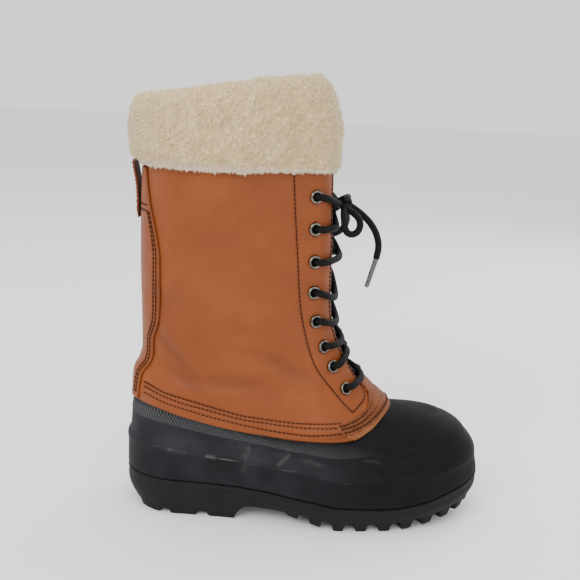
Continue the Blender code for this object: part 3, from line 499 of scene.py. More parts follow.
# %% Signals and finishes
class Signal:
    """A value that changes over the surface."""

    def __init__(self, finish, socket):
        self.finish = finish
        self.socket = socket

    def sum_with(self, operation, *others):
        return self.finish.node("ShaderNodeMath", {"operation": operation},
                                dict(enumerate((self,) + others)))

    def __add__(self, other):
        return self.sum_with("ADD", other)

    __radd__ = __add__

    def __mul__(self, other):
        return self.sum_with("MULTIPLY", other)

    __rmul__ = __mul__

    def __sub__(self, other):
        return self.sum_with("SUBTRACT", other)

    def __rsub__(self, other):
        return self * -1.0 + other

    def __pow__(self, other):
        return self.sum_with("POWER", other)

    def least(self, other):
        return self.sum_with("MINIMUM", other)

    def most(self, other):
        return self.sum_with("MAXIMUM", other)

    def wave(self):
        return self.sum_with("SINE")

    def size(self):
        return self.sum_with("ABSOLUTE")

    def step(self, low, high, to_low=0.0, to_high=1.0):
        """to_low below low, to_high above high, with a soft step between."""
        return self.finish.node("ShaderNodeMapRange", {"interpolation_type": "SMOOTHSTEP"},
                                {0: self, 1: low, 2: high, 3: to_low, 4: to_high})


class Finish:
    """A material built in code."""

    def __init__(self, name, **constants):
        self.material = bpy.data.materials.new(name)
        self.material.use_nodes = True
        self.tree = self.material.node_tree
        self.shader = self.tree.nodes["Principled BSDF"]
        for key, value in constants.items():
            self.shader.inputs[key.replace("_", " ")].default_value = value

    def node(self, kind, settings=None, inputs=None, output=0):
        made = self.tree.nodes.new(kind)
        for key, value in (settings or {}).items():
            if key == "stops":
                ramp = made.color_ramp.elements
                while len(ramp) < len(value):
                    ramp.new(0.5)
                for stop, (at, colour) in zip(ramp, value):
                    stop.position, stop.color = at, (*colour, 1.0)
            else:
                setattr(made, key, value)
        for key, value in (inputs or {}).items():
            if isinstance(value, Signal):
                self.tree.links.new(value.socket, made.inputs[key])
            else:
                made.inputs[key].default_value = value
        return Signal(self, made.outputs[output])

    def place(self, scale=(1.0, 1.0, 1.0)):
        """Position on the piece in metres, stretched by scale."""
        where = self.node("ShaderNodeTexCoord", output="Object")
        return self.node("ShaderNodeVectorMath", {"operation": "MULTIPLY"}, {0: where, 1: scale})

    def across(self):
        """The two UV distances in metres, as separate signals."""
        where = self.node("ShaderNodeUVMap", {"uv_map": "UVMap"})
        split = self.node("ShaderNodeSeparateXYZ", inputs={0: where})
        return split, Signal(self, split.socket.node.outputs[1])

    def mark(self, name):
        """A number kept on the mesh's points."""
        return self.node("ShaderNodeAttribute", {"attribute_name": name}, output="Fac")

    def noise(self, size, detail=4.0, roughness=0.55, where=None, stretch=(1.0, 1.0, 1.0)):
        """Cloudy noise, 0 to 1, with clouds about size metres across."""
        where = where or self.place(stretch)
        return self.node("ShaderNodeTexNoise", {"noise_dimensions": "3D"},
                         {"Vector": where, "Scale": 1.0 / size, "Detail": detail,
                          "Roughness": roughness})

    def cells(self, size, feature="F1", where=None, output="Distance"):
        """Distance to the nearest of scattered points about size metres apart."""
        return self.node("ShaderNodeTexVoronoi", {"feature": feature},
                         {"Vector": where or self.place(), "Scale": 1.0 / size}, output)

    def blend(self, share, low, high):
        """A colour from low to high."""
        as_colour = [c if isinstance(c, Signal) else (*c, 1.0) for c in (low, high)]
        return self.node("ShaderNodeMix", {"data_type": "RGBA"},
                         {0: share, 6: as_colour[0], 7: as_colour[1]}, 2)

    def feed(self, name, signal):
        self.tree.links.new(signal.socket, self.shader.inputs[name])

    def relief(self, height, depth, strength=1.0):
        """A bump of that depth in metres from a height of 0 to 1."""
        bump = self.node("ShaderNodeBump", {}, {"Height": height, "Distance": depth,
                                                "Strength": strength})
        self.feed("Normal", bump)


print("finish helpers ready")

# %% [markdown]
# ## The bow
# The laces are long flexible cords, so their facts come first: a round braid of 5.4 mm, tied in a
# bow in front of the top eyelets, with short ends in plastic sleeves. The camera sees the near
# loop and the near end; the far ones hang behind the shaft's front. A braid could be woven from
# strands, but at this size its crossing yarns show best as relief on a smooth tube.

# %% The lace's finish
LACE_DIAMETER = 0.0054
LACE_STEP = 0.0012
BOW_SIDES = 16
YARN_PITCH = 0.0021
YARNS_AROUND = 8

braid = Finish("lace_braid", Roughness=0.62, Specular_IOR_Level=0.14)
around, along = braid.across()
turn = around * (2 * YARNS_AROUND / LACE_DIAMETER)
run = along * (2 * math.pi / YARN_PITCH)
yarns = (turn + run).wave().most((turn - run).wave())
fuzz = braid.noise(0.0007, 3.0)
# The braid is painted darker in the grooves between its yarns and lighter on their crests: painted
# shade and painted highlight that follow the relief.
braid.feed("Base Color", braid.blend(yarns.step(-0.2, 1.0) * 0.75 + fuzz * 0.25,
                                     (0.0009, 0.0009, 0.0010), (0.0055, 0.0056, 0.0062)))
braid.relief(yarns * 0.8 + fuzz * 0.4, 0.0004)
print("lace finish made")

# %% The bow's routes
KNOT = ((0.1147, -0.0066, 0.2540), (0.1168, -0.0030, 0.2553), (0.1168, 0.0030, 0.2553),
        (0.1147, 0.0066, 0.2540))
LOOP_NEAR = ((0.1158, -0.0103, 0.2518), (0.1211, -0.0120, 0.2487), (0.1258, -0.0141, 0.2450),
             (0.1277, -0.0163, 0.2396), (0.1258, -0.0186, 0.2345), (0.1215, -0.0207, 0.2325),
             (0.1175, -0.0227, 0.2342), (0.1154, -0.0237, 0.2385), (0.1148, -0.0226, 0.2432),
             (0.1145, -0.0188, 0.2466))
LOOP_FAR = ((0.1160, 0.0106, 0.2508), (0.1150, 0.0218, 0.2508), (0.1115, 0.0338, 0.2467),
            (0.1045, 0.0438, 0.2387), (0.1025, 0.0478, 0.2297), (0.1080, 0.0448, 0.2227),
            (0.1160, 0.0348, 0.2277), (0.1195, 0.0248, 0.2367), (0.1182, 0.0165, 0.2445))
END_NEAR = ((0.1211, -0.0020, 0.2518), (0.1262, -0.0029, 0.2487), (0.1313, -0.0039, 0.2449),
            (0.1362, -0.0052, 0.2402), (0.1402, -0.0064, 0.2345), (0.1428, -0.0075, 0.2285),
            (0.1439, -0.0084, 0.2215), (0.1427, -0.0092, 0.2125))
END_FAR = ((0.1180, 0.0099, 0.2572), (0.1186, 0.0180, 0.2572), (0.1148, 0.0335, 0.2533),
           (0.1022, 0.0482, 0.2440), (0.0935, 0.0550, 0.2280), (0.0895, 0.0565, 0.2130))
NEAR_RETURN = (0.1146, -0.0135, 0.2498)
FAR_RETURN = (0.1165, 0.0115, 0.2490)
knot_middle = np.mean(np.array(KNOT), axis=0)
AGLET_WAY_NEAR = (-0.26, -0.05, -0.96)
AGLET_WAY_FAR = (-0.10, 0.02, -1.0)
AGLET_LENGTH = 0.024
AGLET_DIAMETER = 0.0042
AGLET_LAP = 0.001
AGLET_SIDES = 20
AGLET_PROFILE = {
    "along": (0.0, 0.03, 0.06, 0.12, 0.2, 0.4, 0.6, 0.8, 0.93, 0.98, 1.0),
    "width": (0.80, 1.00, 1.02, 0.98, 0.94, 0.93, 0.92, 0.91, 0.89, 0.82, 0.55),
}

sleeve = Finish("aglet_sleeve", Roughness=0.38, Coat_Weight=0.25)
speckle = sleeve.noise(0.0009, 2.0).step(0.45, 0.62)
sleeve.feed("Base Color", sleeve.blend(speckle, (0.018, 0.019, 0.021), (0.115, 0.118, 0.122)))
print("aglet finish made")


# %% Tie the bow
def lace_cord(name, route):
    """A free length of lace, made as a tube along its route."""
    path = through(route, LACE_STEP)
    points, faces, uv = tube(path, LACE_DIAMETER / 2, BOW_SIDES)
    piece = make_mesh(name, points, faces, uv, finish=braid)
    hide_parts(name.replace("bow", "lace"))
    print(name, round(path_length(path) / MM), "mm")


def aglet(name, route, way):
    """The sleeve at a lace's end: crimped where it holds the braid, closed at the tip."""
    way = np.array(way) / np.linalg.norm(way)
    top = np.array(route[-1]) - way * AGLET_LAP
    share = np.array(AGLET_PROFILE["along"])
    path = top + way * (share * (AGLET_LENGTH + AGLET_LAP))[:, None]
    points, faces, uv = tube(path, AGLET_DIAMETER / 2, AGLET_SIDES, taper=AGLET_PROFILE["width"])
    piece = make_mesh(name, points, faces, uv, finish=sleeve)
    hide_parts(name.replace("sleeve", "aglet"))
    return piece


for end, route, way in (("near", END_NEAR, AGLET_WAY_NEAR), ("far", END_FAR, AGLET_WAY_FAR)):
    tip = aglet(f"sleeve_{end}", route, way)
    lace_cord(f"bow_end_{end}", (tuple(knot_middle),) + route)
lace_cord("bow_loop_near", (KNOT[1],) + LOOP_NEAR + (NEAR_RETURN, KNOT[0]))
lace_cord("bow_loop_far", (KNOT[2],) + LOOP_FAR + (FAR_RETURN, KNOT[3]))

# %% [markdown]
# The knot of a bow is the same lace pulled tight over the crossing. A cord through it would be
# hidden, so its turns alone are made: one wraps round the front, and two lie across it.

# %% The knot
KNOT_TURNS = (
    ((-2.6, -4.6, -2.8), (1.6, -5.2, -2.8), (3.0, -3.8, 1.2), (-0.4, -2.0, 3.4), (-3.2, 0.2, 1.6)),
    ((-2.2, -9.2, 2.2), (1.0, -6.4, 3.4), (2.4, -1.0, 2.2), (2.2, 4.0, 0.4), (0.0, 8.0, -1.6)),
    ((1.0, -8.8, -1.6), (3.2, -3.2, -2.8), (2.6, 2.4, -2.6), (0.6, 7.6, 1.4)),
)
KNOT_PULL = 0.94
parts = [tube(through(knot_middle + np.array(turns) * MM, LACE_STEP), LACE_DIAMETER / 2 * KNOT_PULL,
              BOW_SIDES) for turns in KNOT_TURNS]
points, faces, uv = join(parts)
knot = make_mesh("bow_knot", points, faces, uv, finish=braid)
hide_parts("lace_knot")
print("knot tied at", np.round(knot_middle / MM), "mm")

# %% [markdown]
# ## Floor and light
# The boot was photographed on white with broad soft light from above and the front. Large area
# lamps do that without hard shadows, and a plain pale floor carries the boot.

# %% Floor and light
floor_finish = Finish("floor", Roughness=0.9)
floor_finish.shader.inputs["Base Color"].default_value = (0.90, 0.90, 0.90, 1.0)
FLOOR_HALF = 20.0
floor_mesh = bpy.data.meshes.new("floor")
floor_mesh.from_pydata([(-FLOOR_HALF, -FLOOR_HALF, 0), (FLOOR_HALF, -FLOOR_HALF, 0),
                        (FLOOR_HALF, FLOOR_HALF, 0), (-FLOOR_HALF, FLOOR_HALF, 0)],
                       [], [(0, 1, 2, 3)])
floor = bpy.data.objects.new("floor", floor_mesh)
floor.data.materials.append(floor_finish.material)
bpy.context.scene.collection.objects.link(floor)

world = bpy.data.worlds.new("studio")
world.use_nodes = True
world.node_tree.nodes["Background"].inputs["Color"].default_value = (1.0, 1.0, 1.0, 1.0)
world.node_tree.nodes["Background"].inputs["Strength"].default_value = 1.30
bpy.context.scene.world = world

LAMPS = {
    "name":  ("key", "front", "top", "rim"),
    "at":    ((-0.9, -1.5, 1.5), (0.9, -1.7, 0.8), (0.0, 0.1, 1.9), (1.1, 1.2, 1.1)),
    "size":  (1.3, 1.4, 1.6, 1.0),
    "watts": (31.0, 11.5, 9.0, 11.0),
}
AIM = Vector((0.06, 0.0, 0.16))
for name, at, size, watts in zip(*LAMPS.values()):
    lamp = bpy.data.lights.new(name, "AREA")
    lamp.shape = "DISK"
    lamp.size = size
    lamp.energy = watts
    holder = bpy.data.objects.new(name, lamp)
    holder.location = at
    holder.rotation_euler = (AIM - Vector(at)).to_track_quat("-Z", "Y").to_euler()
    bpy.context.scene.collection.objects.link(holder)
print("lamps:", ", ".join(LAMPS["name"]))

# %% [markdown]
# ## Leather
# The shaft is smooth full-grain leather with a low sheen. Three things make it look real: slow
# changes of tint, a grain of fine cells that only shows at a glance, and darker places: painted
# shade in the troughs where it folds, and rubbed wear along stitches, round eyelets and at edges.
# The folds are kept on the mesh as a mark, so colour and relief agree.

# %% The leather's finish
leather = Finish("tan_leather", Specular_IOR_Level=0.22)
clouds = leather.noise(0.055, 3.0).step(0.30, 0.72)
patches = leather.noise(0.013, 4.0).step(0.35, 0.70)
grain = leather.cells(0.0011)
pores = leather.noise(0.0006, 3.0, 0.6)
fold = leather.mark("fold")
rub = leather.mark("rub")
tan = leather.blend(clouds, (0.165, 0.0380, 0.0062), (0.201, 0.0485, 0.0086))
tan = leather.blend(patches * 0.30, tan, (0.150, 0.0350, 0.0068))
# Painted shade: the fold mark darkens crease troughs, the thin shadow line below the cuff, the
# tongue and the underside of the pull strap.
tan = leather.blend(fold.step(0.0, 1.0) * 0.45, tan, (0.105, 0.0240, 0.0060))
tan = leather.blend(rub * 0.55, tan, (0.080, 0.0250, 0.0100))
leather.feed("Base Color", tan)
leather.feed("Roughness", 0.47 + patches * 0.08 + rub * 0.18 - fold * 0.05)
leather.relief(grain * 0.5 + pores * 0.35 + patches * 0.8, 0.00018)

cut_edge = Finish("cut_leather", Roughness=0.85)
fibres = cut_edge.noise(0.0005, 4.0, 0.7)
cut_edge.feed("Base Color", cut_edge.blend(fibres.step(0.3, 0.7), (0.110, 0.034, 0.010),
                                           (0.30, 0.120, 0.042)))
cut_edge.relief(fibres, 0.0005)

thread = Finish("dark_thread", Roughness=0.75, Specular_IOR_Level=0.12)
twist = thread.noise(0.0006, 2.0)
thread.feed("Base Color", thread.blend(twist, (0.016, 0.0050, 0.0025), (0.046, 0.0140, 0.0060)))
print("leather, cut edge and thread finishes made")

# %% [markdown]
# Creases are placed one by one. Each is a short route on the form with a depth and a width: a
# trough where the ankle folds, a low ridge beside it. A point's shift falls off smoothly with its
# distance from the route, so they stay soft.

# %% Creases
# Each trough also paints shade into the leather's colour, through the fold mark.
CREASES = (
    (((0.150, 4.85), (0.185, 4.45), (0.235, 4.00), (0.275, 3.30), (0.320, 2.75)), -1.3, 5.0),
    (((0.190, 4.95), (0.235, 4.55), (0.285, 4.05), (0.330, 3.40)), 0.8, 6.0),
    (((0.170, 3.60), (0.225, 3.05), (0.290, 2.45), (0.350, 2.20)), -0.9, 4.0),
    (((0.230, 2.15), (0.336, 2.25), (0.438, 2.40), (0.540, 2.42)), 0.8, 4.5),
    (((0.300, 2.95), (0.400, 3.10), (0.500, 3.20), (0.600, 3.05)), -0.9, 6.0),
    (((0.360, 3.70), (0.470, 3.75), (0.580, 3.60), (0.660, 3.30)), 0.9, 7.0),
    (((0.540, 4.50), (0.620, 4.20), (0.700, 3.75), (0.755, 3.35)), -0.9, 5.5),
    (((0.600, 5.05), (0.680, 4.70), (0.745, 4.30)), 0.6, 5.0),
    (((0.120, 5.60), (0.220, 5.45), (0.340, 5.50)), -0.6, 8.0),
    (((0.330, 6.80), (0.450, 6.60), (0.560, 6.75)), -0.6, 13.0),
    (((0.250, 7.35), (0.380, 7.50), (0.520, 7.40)), 0.5, 11.0),
    (((0.420, 5.60), (0.520, 5.30), (0.600, 5.45)), 0.6, 12.0),
    # A thin trough just below the collar. Its painted shade is the cuff's shadow line on the
    # leather.
    (((0.110, 7.76), (0.300, 7.79), (0.500, 7.82), (0.700, 7.84), (0.915, 7.85)), -1.1, 0.9),
)
INNER_SHIFT = 0.03
INNER_TURN = 1.7
CREASE_STEP = 0.004
CREASE_FADE = 0.6


def crease_shift(u, v):
    """How far the creases move points out from the form, in metres, and how much painted shade
    their troughs get.
    """
    points = skin(u, v).reshape(-1, 3)
    shift = np.zeros(len(points))
    fold = np.zeros(len(points))
    for number, (route, depth, width) in enumerate(CREASES):
        for side in (1, -1):
            wander = INNER_SHIFT * math.sin(number * INNER_TURN) if side < 0 else 0.0
            way = skin([side * (a + wander) for a, b in route], [b for a, b in route])
            way = through(way, CREASE_STEP)
            gaps = np.linalg.norm(points[:, None] - way[None], axis=-1)
            nearest = gaps.argmin(1)
            share = nearest / (len(way) - 1)
            fade = np.sin(np.pi * np.clip(share, 0.03, 0.97)) ** CREASE_FADE
            near = np.exp(-(gaps.min(1) / (width * MM)) ** 2) * fade
            shift += near * depth * MM
            fold += near * max(-depth, 0.0)
    shape = np.broadcast(u, v).shape
    return shift.reshape(shape), np.clip(fold, 0, 1).reshape(shape)


print(len(CREASES), "creases on each side")

# %% [markdown]
# ## The quarters
# The shaft is two panels, the quarters, sewn up the back and open in front. They are one sheet
# here: its lower edge lies over the rubber, each stitch row sinks into it, the leather dips round
# every eyelet, and it thins to a raw edge along the throat.

# %% Lines on the leather
LOWER_EDGE = {
    "u":     (0.00, 0.10, 0.147, 0.223, 0.353, 0.475, 0.603, 0.697, 0.751, 0.816, 0.90, 1.00),
    "level": (1.00, 1.00, 0.99, 1.00, 1.06, 1.01, 0.96, 0.90, 0.92, 0.96, 0.99, 1.00),
}
ROWS = {
    "u":      (0.00, 0.118, 0.19, 0.265, 0.333, 0.40, 0.46, 0.52, 0.60, 0.66, 0.742, 0.78),
    "top":    (1.80, 1.78, 1.68, 1.71, 1.73, 1.69, 1.62, 1.60, 1.57, 1.55, 1.50, 1.47),
    "middle": (1.62, 1.60, 1.52, 1.52, 1.57, 1.54, 1.48, 1.46, 1.42, 1.38, 1.32, 1.30),
    "bottom": (1.38, 1.37, 1.30, 1.33, 1.35, 1.33, 1.28, 1.21, 1.15, 1.10, 1.09, 1.09),
}
EYESTAY = ((0.712, 7.84), (0.726, 7.00), (0.738, 6.22), (0.752, 5.40), (0.760, 5.00),
           (0.762, 4.57), (0.764, 4.20), (0.773, 3.75), (0.799, 2.95), (0.817, 2.29),
           (0.829, 1.69))
EYESTAY_TURN = ((0.829, 1.69), (0.859, 1.76), (0.888, 1.82), (0.915, 1.98), (0.926, 2.25),
                (0.930, 2.60), (0.926, 3.20), (0.924, 3.80))
FRONT_LINE_IN = 0.0042
FRONT_LINE = (3.8, 7.85)
ROW_SPAN = (0.105, 0.768)
LINE_POINTS = 240
LEATHER_WALL = 0.0022


def along_route(route, side):
    """Fractions and levels read smoothly along a route of (u, v)."""
    table = {"at": tuple(range(len(route))), "u": [p[0] for p in route], "v": [p[1] for p in route]}
    at = np.linspace(0, len(route) - 1, LINE_POINTS)
    return side * smooth(table, "u", at), smooth(table, "v", at)


stitch_lines = {}
for side, name in ((1, "outer"), (-1, "inner")):
    for row in ("top", "middle", "bottom"):
        us = np.linspace(*ROW_SPAN, LINE_POINTS)
        stitch_lines[f"{name}_{row}"] = (side * us, smooth(ROWS, row, us))
    stitch_lines[f"{name}_eyestay"] = along_route(EYESTAY, side)
    stitch_lines[f"{name}_eyestay_turn"] = along_route(EYESTAY_TURN, side)
    vs = np.linspace(*FRONT_LINE, LINE_POINTS)
    stitch_lines[f"{name}_front"] = (side * throat_edge(vs, FRONT_LINE_IN), vs)
print(len(stitch_lines), "stitch lines")


# %% Lay the quarters
def groove(points, lines, depth, width):
    """A narrow furrow along stitch lines, and how near each point is to one."""
    flat = points.reshape(-1, 3)
    near = np.zeros(len(flat))
    for us, vs in lines:
        way = skin(us, vs)
        low, high = way.min(0) - 3 * width, way.max(0) + 3 * width
        inside = np.all((flat > low) & (flat < high), axis=1)
        chosen = flat[inside]
        gap = np.full(len(chosen), 1.0)
        for start in range(0, len(way), 40):
            piece = way[start:start + 40]
            gap = np.minimum(gap, np.linalg.norm(chosen[:, None] - piece[None], axis=-1).min(1))
        near[inside] = np.maximum(near[inside], np.exp(-(gap / width) ** 2))
    return -depth * near.reshape(points.shape[:-1]), near.reshape(points.shape[:-1])


QUARTER_COLUMNS = 271
LOW_SHARE = 0.13
LOW_ROWS = 26
HIGH_ROWS = 100
QUARTER_FURROW = (0.00045, 0.0011)
PILLOW = 0.0005
DIMPLE_DEPTH = 0.0007
DIMPLE_REACH = 0.0075
FLANGE_REACH = 0.0066
EYELET_HOLE = 0.0043
TAB_RISE = 0.0008
EDGE_THINNING = 0.0006
BAND_START = 0.757
quarter_levels = np.concatenate([np.linspace(0.0, 1.0, LOW_ROWS + 1)[:-1] * LOW_SHARE,
                                 np.linspace(LOW_SHARE, 1.0, HIGH_ROWS)])
marks_across = np.linspace(-THROAT_FOOT, THROAT_FOOT, QUARTER_COLUMNS)
m, share = np.meshgrid(marks_across, quarter_levels)
base_v = 1.0 + 7.0 * share
u = m * throat_edge(base_v) / THROAT_FOOT
v = mix(smooth(LOWER_EDGE, "level", np.abs(u)), 8.0, share)
# The fold mark is painted shade in the crease troughs.
shift, fold = crease_shift(u, v)
surface = skin(u, v)
furrow, by_stitch = groove(surface, stitch_lines.values(), *QUARTER_FURROW)
pillow = np.sin(np.pi * np.clip((v - 1.0) / 0.75, 0, 1)) * PILLOW
eyelet_gap = np.full(u.shape, 1.0)
for side in (1, -1):
    for level in EYELET_LEVELS:
        centre = skin(side * eyelet_line(level), level)
        eyelet_gap = np.minimum(eyelet_gap, np.linalg.norm(surface - centre, axis=-1))
dimple = -DIMPLE_DEPTH * np.exp(-(eyelet_gap / DIMPLE_REACH) ** 2)
edge_gap = (throat_edge(base_v) - np.abs(u)) * half_length(base_v)
tab = ease(0.012, 0.0, edge_gap) * ease(3.2, 2.2, base_v) * TAB_RISE
outer = shift + furrow + pillow * ease(0.80, 0.76, np.abs(m)) + dimple + tab
outer = outer - ease(0.0016, 0.0, edge_gap) * EDGE_THINNING
by_flange = np.exp(-(eyelet_gap / FLANGE_REACH) ** 2)
rub = ease(1.10, 1.0, v) * 0.35 + by_stitch * 0.55 + by_flange * 0.35
rub = np.clip(rub + ease(0.0022, 0.0, edge_gap) * 0.4, 0, 1)
cell_m = np.abs(m[:-1, :-1] + m[1:, 1:]) / 2
cell_v = (base_v[:-1, :-1] + base_v[1:, 1:]) / 2
cell_gap = (eyelet_gap[:-1, :-1] + eyelet_gap[1:, 1:] + eyelet_gap[:-1, 1:]
            + eyelet_gap[1:, :-1]) / 4
keep = ((cell_m < BAND_START) | (cell_v > TAB_LEVEL + UNDER_TAB)) & (cell_gap > EYELET_HOLE)
inner = np.full(u.shape, -LEATHER_WALL) + np.minimum(shift, 0.0)
quarters = walled("quarters", u, v, outer, inner, leather, keep, {"fold": fold, "rub": rub})
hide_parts("leather_upper")
print("quarters:", len(quarters.data.polygons), "faces")

# %% [markdown]
# ## Stitches
# Each stitch is a short length of thick dark thread that bows out of its furrow between two holes.
# One small tube makes a stitch, and a row is that tube repeated at the machine's pitch.

# %% Stitches
STITCH_PITCH = 0.0034
STITCH_SHARE = 0.80
THREAD_DIAMETER = 0.00085
STITCH_SIDES = 5
STITCH_BOW = (-0.45, 0.28, 0.28, -0.45)
STITCH_TAPER = (0.75, 1.05, 1.05, 0.75)


def stitch_row(us, vs, lift, pitch=STITCH_PITCH):
    """Tubes for the stitches along a line on the form."""
    us, vs = np.asarray(us, float), np.asarray(vs, float)
    lengths = distances(skin(us, vs))
    count = int(lengths[-1] / pitch)
    ends = 0.5 - STITCH_SHARE / 2, 0.5 + STITCH_SHARE / 2
    stations = np.linspace(*ends, len(STITCH_BOW))
    at = (np.arange(count)[:, None] + stations[None]) * (lengths[-1] / max(count, 1))
    u_at, v_at = np.interp(at, lengths, us), np.interp(at, lengths, vs)
    bow = np.array(STITCH_BOW) * THREAD_DIAMETER
    places = skin(u_at, v_at, lift + bow[None])
    parts = []
    for path in places:
        parts.append(tube(path, THREAD_DIAMETER / 2, STITCH_SIDES, taper=STITCH_TAPER))
    return parts


def sew(name, lines, lift):
    parts = [part for line in lines for part in stitch_row(*line, lift)]
    points, faces, uv = join(parts)
    make_mesh(name, points, faces, uv, finish=thread)
    print(name, len(parts), "stitches")


sew("shaft_stitches", stitch_lines.values(), 0.0001)

# %% [markdown]
# ## Vamp band
# A U-shaped strip of rougher, darker leather runs round the foot of the throat and ties the two
# quarters to the rubber. It was cut by hand: its ends are pale and slightly ragged, and three rows
# of stitches run round it. Its inner part goes up under the lowest lace.

# %% The band's finish
band_leather = Finish("band_leather", Roughness=0.62, Specular_IOR_Level=0.20)
band_clouds = band_leather.noise(0.012, 4.0).step(0.32, 0.70)
band_grain = band_leather.noise(0.0012, 5.0, 0.65)
band_rub = band_leather.mark("rub")
brown = band_leather.blend(band_clouds, (0.105, 0.0300, 0.0085), (0.185, 0.0530, 0.0150))
brown = band_leather.blend(band_grain.step(0.45, 0.75) * 0.4, brown, (0.062, 0.0190, 0.0070))
brown = band_leather.blend(band_rub * 0.8, brown, (0.26, 0.105, 0.038))
band_leather.feed("Base Color", brown)
band_leather.relief(band_grain * 0.6 + band_clouds * 0.4, 0.0005)
print("band finish made")

# %% Lay the vamp band
BAND_REACH = 0.255
BAND_FURROW = (0.0006, 0.0012)
BAND_WALL = 0.0017
BAND_LIE = 0.0006
BAND_OVERLAP_RISE = 0.0012
BAND_RAGGED = (0.00018, 0.0022)
BAND_TOP = {
    "away": (0.00, 0.25, 0.50, 0.80, 1.00),
    "level": (2.85, 2.60, 1.75, 1.48, 1.46),
}
BAND_ROWS = {
    "away":   (0.00, 0.20, 0.45, 0.75, 1.00),
    "bottom": (1.16, 1.15, 1.12, 1.10, 1.11),
    "middle": (1.48, 1.42, 1.30, 1.24, 1.25),
    "top":    (1.84, 1.74, 1.48, 1.38, 1.38),
}
band_lines = []
for row in ("bottom", "middle", "top"):
    w = np.linspace(-0.97, 0.97, 400)
    band_lines.append((wrap(1.0 + w * BAND_REACH), smooth(BAND_ROWS, row, np.abs(w))))
rng = np.random.default_rng(11)
w, share = np.meshgrid(np.linspace(-1, 1, 150), np.linspace(0, 1, 34))
u = wrap(1.0 + w * BAND_REACH)
v = mix(smooth(LOWER_EDGE, "level", np.abs(u)), smooth(BAND_TOP, "level", np.abs(w)), share)
ragged = rng.normal(0, 1, u.shape)
at_end = ease(0.965, 1.0, np.abs(w))
surface = skin(u, v)
furrow = groove(surface, band_lines, *BAND_FURROW)[0]
rise = BAND_LIE + BAND_OVERLAP_RISE * ease(0.75, 0.2, np.abs(w)) * ease(0.0, 0.3, share)
roll = -0.0012 * ease(0.05, 0.0, share) - 0.0008 * ease(0.93, 1.0, share)
outer = rise + furrow + roll + np.sin(np.pi * share) * 0.0005 + at_end * ragged * BAND_RAGGED[0]
u = wrap(u + at_end * ragged * BAND_RAGGED[1] * np.sign(w) * -1)
covered = (throat_edge(v) > np.abs(u) + BAND_LAP) & (v > TAB_LEVEL + BAND_UNDER_TAB)
keep = ~(covered[:-1, :-1] & covered[1:, 1:])
rub = np.clip(at_end * 0.9 + ease(0.06, 0.0, share) * 0.7, 0, 1)
vamp_band = walled("vamp_band_leather", u, v, outer, outer - BAND_WALL, band_leather, keep,
                   {"rub": rub})
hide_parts("vamp_band")
sew("band_stitches", band_lines, 0.0011)
print("band:", len(vamp_band.data.polygons), "faces")

# %% [markdown]
# ## Tongue
# The tongue is the same leather behind the laces. It bulges between the quarters where the laces
# press beside it, so its middle stands further out than its edges.

# %% Lay the tongue
TONGUE_OVERLAP = 0.016
TONGUE_TOP = 7.9
TONGUE_WALL = 0.0020
TONGUE_SUNK = 0.0072
TONGUE_DIP = 0.0014
TONGUE_RIPPLE = 0.0005
side_share, v = np.meshgrid(np.linspace(-1, 1, 41), np.linspace(1.60, TONGUE_TOP, 110))
edge = throat_edge(v, TONGUE_OVERLAP)
u = wrap(1.0 + side_share * (1.0 - edge))
reach = np.abs(side_share)
ripple = TONGUE_RIPPLE * np.sin(v * 9.0 + side_share * 3.0) * (1 - reach)
outer = -(TONGUE_SUNK + TONGUE_DIP * ease(0.15, 0.62, reach)) + ripple
# The fold mark paints shade over the whole tongue, deeper towards its edges where they pass under
# the quarters.
tongue = walled("tongue_leather", u, v, outer, outer - TONGUE_WALL, leather,
                marks={"fold": 0.35 + 0.4 * ease(0.2, 0.6, reach), "rub": reach * 0})
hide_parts("tongue")
print("tongue:", len(tongue.data.polygons), "faces")

# %% [markdown]
# ## Backstay and pull loop
# A strip covers the back seam, wide behind the ankle and narrow at the collar, with two rows of
# stitches beside each edge. At its top a folded strap makes the pull loop.

# %% Lay the backstay
BACK_EDGE = {
    "level": (1.00, 1.26, 2.26, 3.26, 4.35, 5.03, 5.33, 6.09, 6.59, 7.06, 7.75),
    "half":  (0.082, 0.084, 0.098, 0.120, 0.133, 0.180, 0.191, 0.204, 0.188, 0.157, 0.113),
}
BACKSTAY_TOP = 7.78
BACK_ROWS_IN = (0.0030, 0.0061)
CROSS_LEVELS = (7.09, 6.98)
STRAP_SHARE = 0.052
BACK_FURROW = (0.0005, 0.0011)
BACK_OUT = 0.0023
BACK_UNDER = 0.0002
back_lines = []
for side in (1, -1):
    for inset in BACK_ROWS_IN:
        vs = np.linspace(1.25, CROSS_LEVELS[1], 400)
        inset_here = inset * mix(1.0, 0.68, ease(5.6, 7.0, vs))
        back_lines.append((side * (smooth(BACK_EDGE, "half", vs)
                                   - inset_here / half_length(vs)), vs))
cross_lines = []
for level in CROSS_LEVELS:
    row_at = abs(back_lines[1][0][-1])
    for side in (1, -1):
        cross_lines.append((side * np.linspace(STRAP_SHARE, row_at, 30), np.full(30, level)))
side_share, v = np.meshgrid(np.linspace(-1, 1, 81), np.linspace(1.06, BACKSTAY_TOP, 170))
u = side_share * smooth(BACK_EDGE, "half", v)
furrow, by_stitch = groove(skin(u, v), back_lines + cross_lines, *BACK_FURROW)
# The fold mark is painted shade in the crease troughs.
shift, fold = crease_shift(u, v)
edge_gap = (1 - np.abs(side_share)) * smooth(BACK_EDGE, "half", v) * half_length(v)
roll = -0.0007 * ease(0.0012, 0.0, edge_gap)
outer = BACK_OUT + furrow + np.minimum(shift, 0) + roll
rub = np.clip(by_stitch * 0.5 + ease(0.0018, 0.0, edge_gap) * 0.6, 0, 1)
backstay = walled("backstay_strip", u, v, outer, np.full(u.shape, BACK_UNDER), leather, None,
                  {"fold": fold, "rub": rub})
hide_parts("backstay")
sew("back_stitches", back_lines + cross_lines, BACK_OUT)
print("backstay:", len(backstay.data.polygons), "faces")

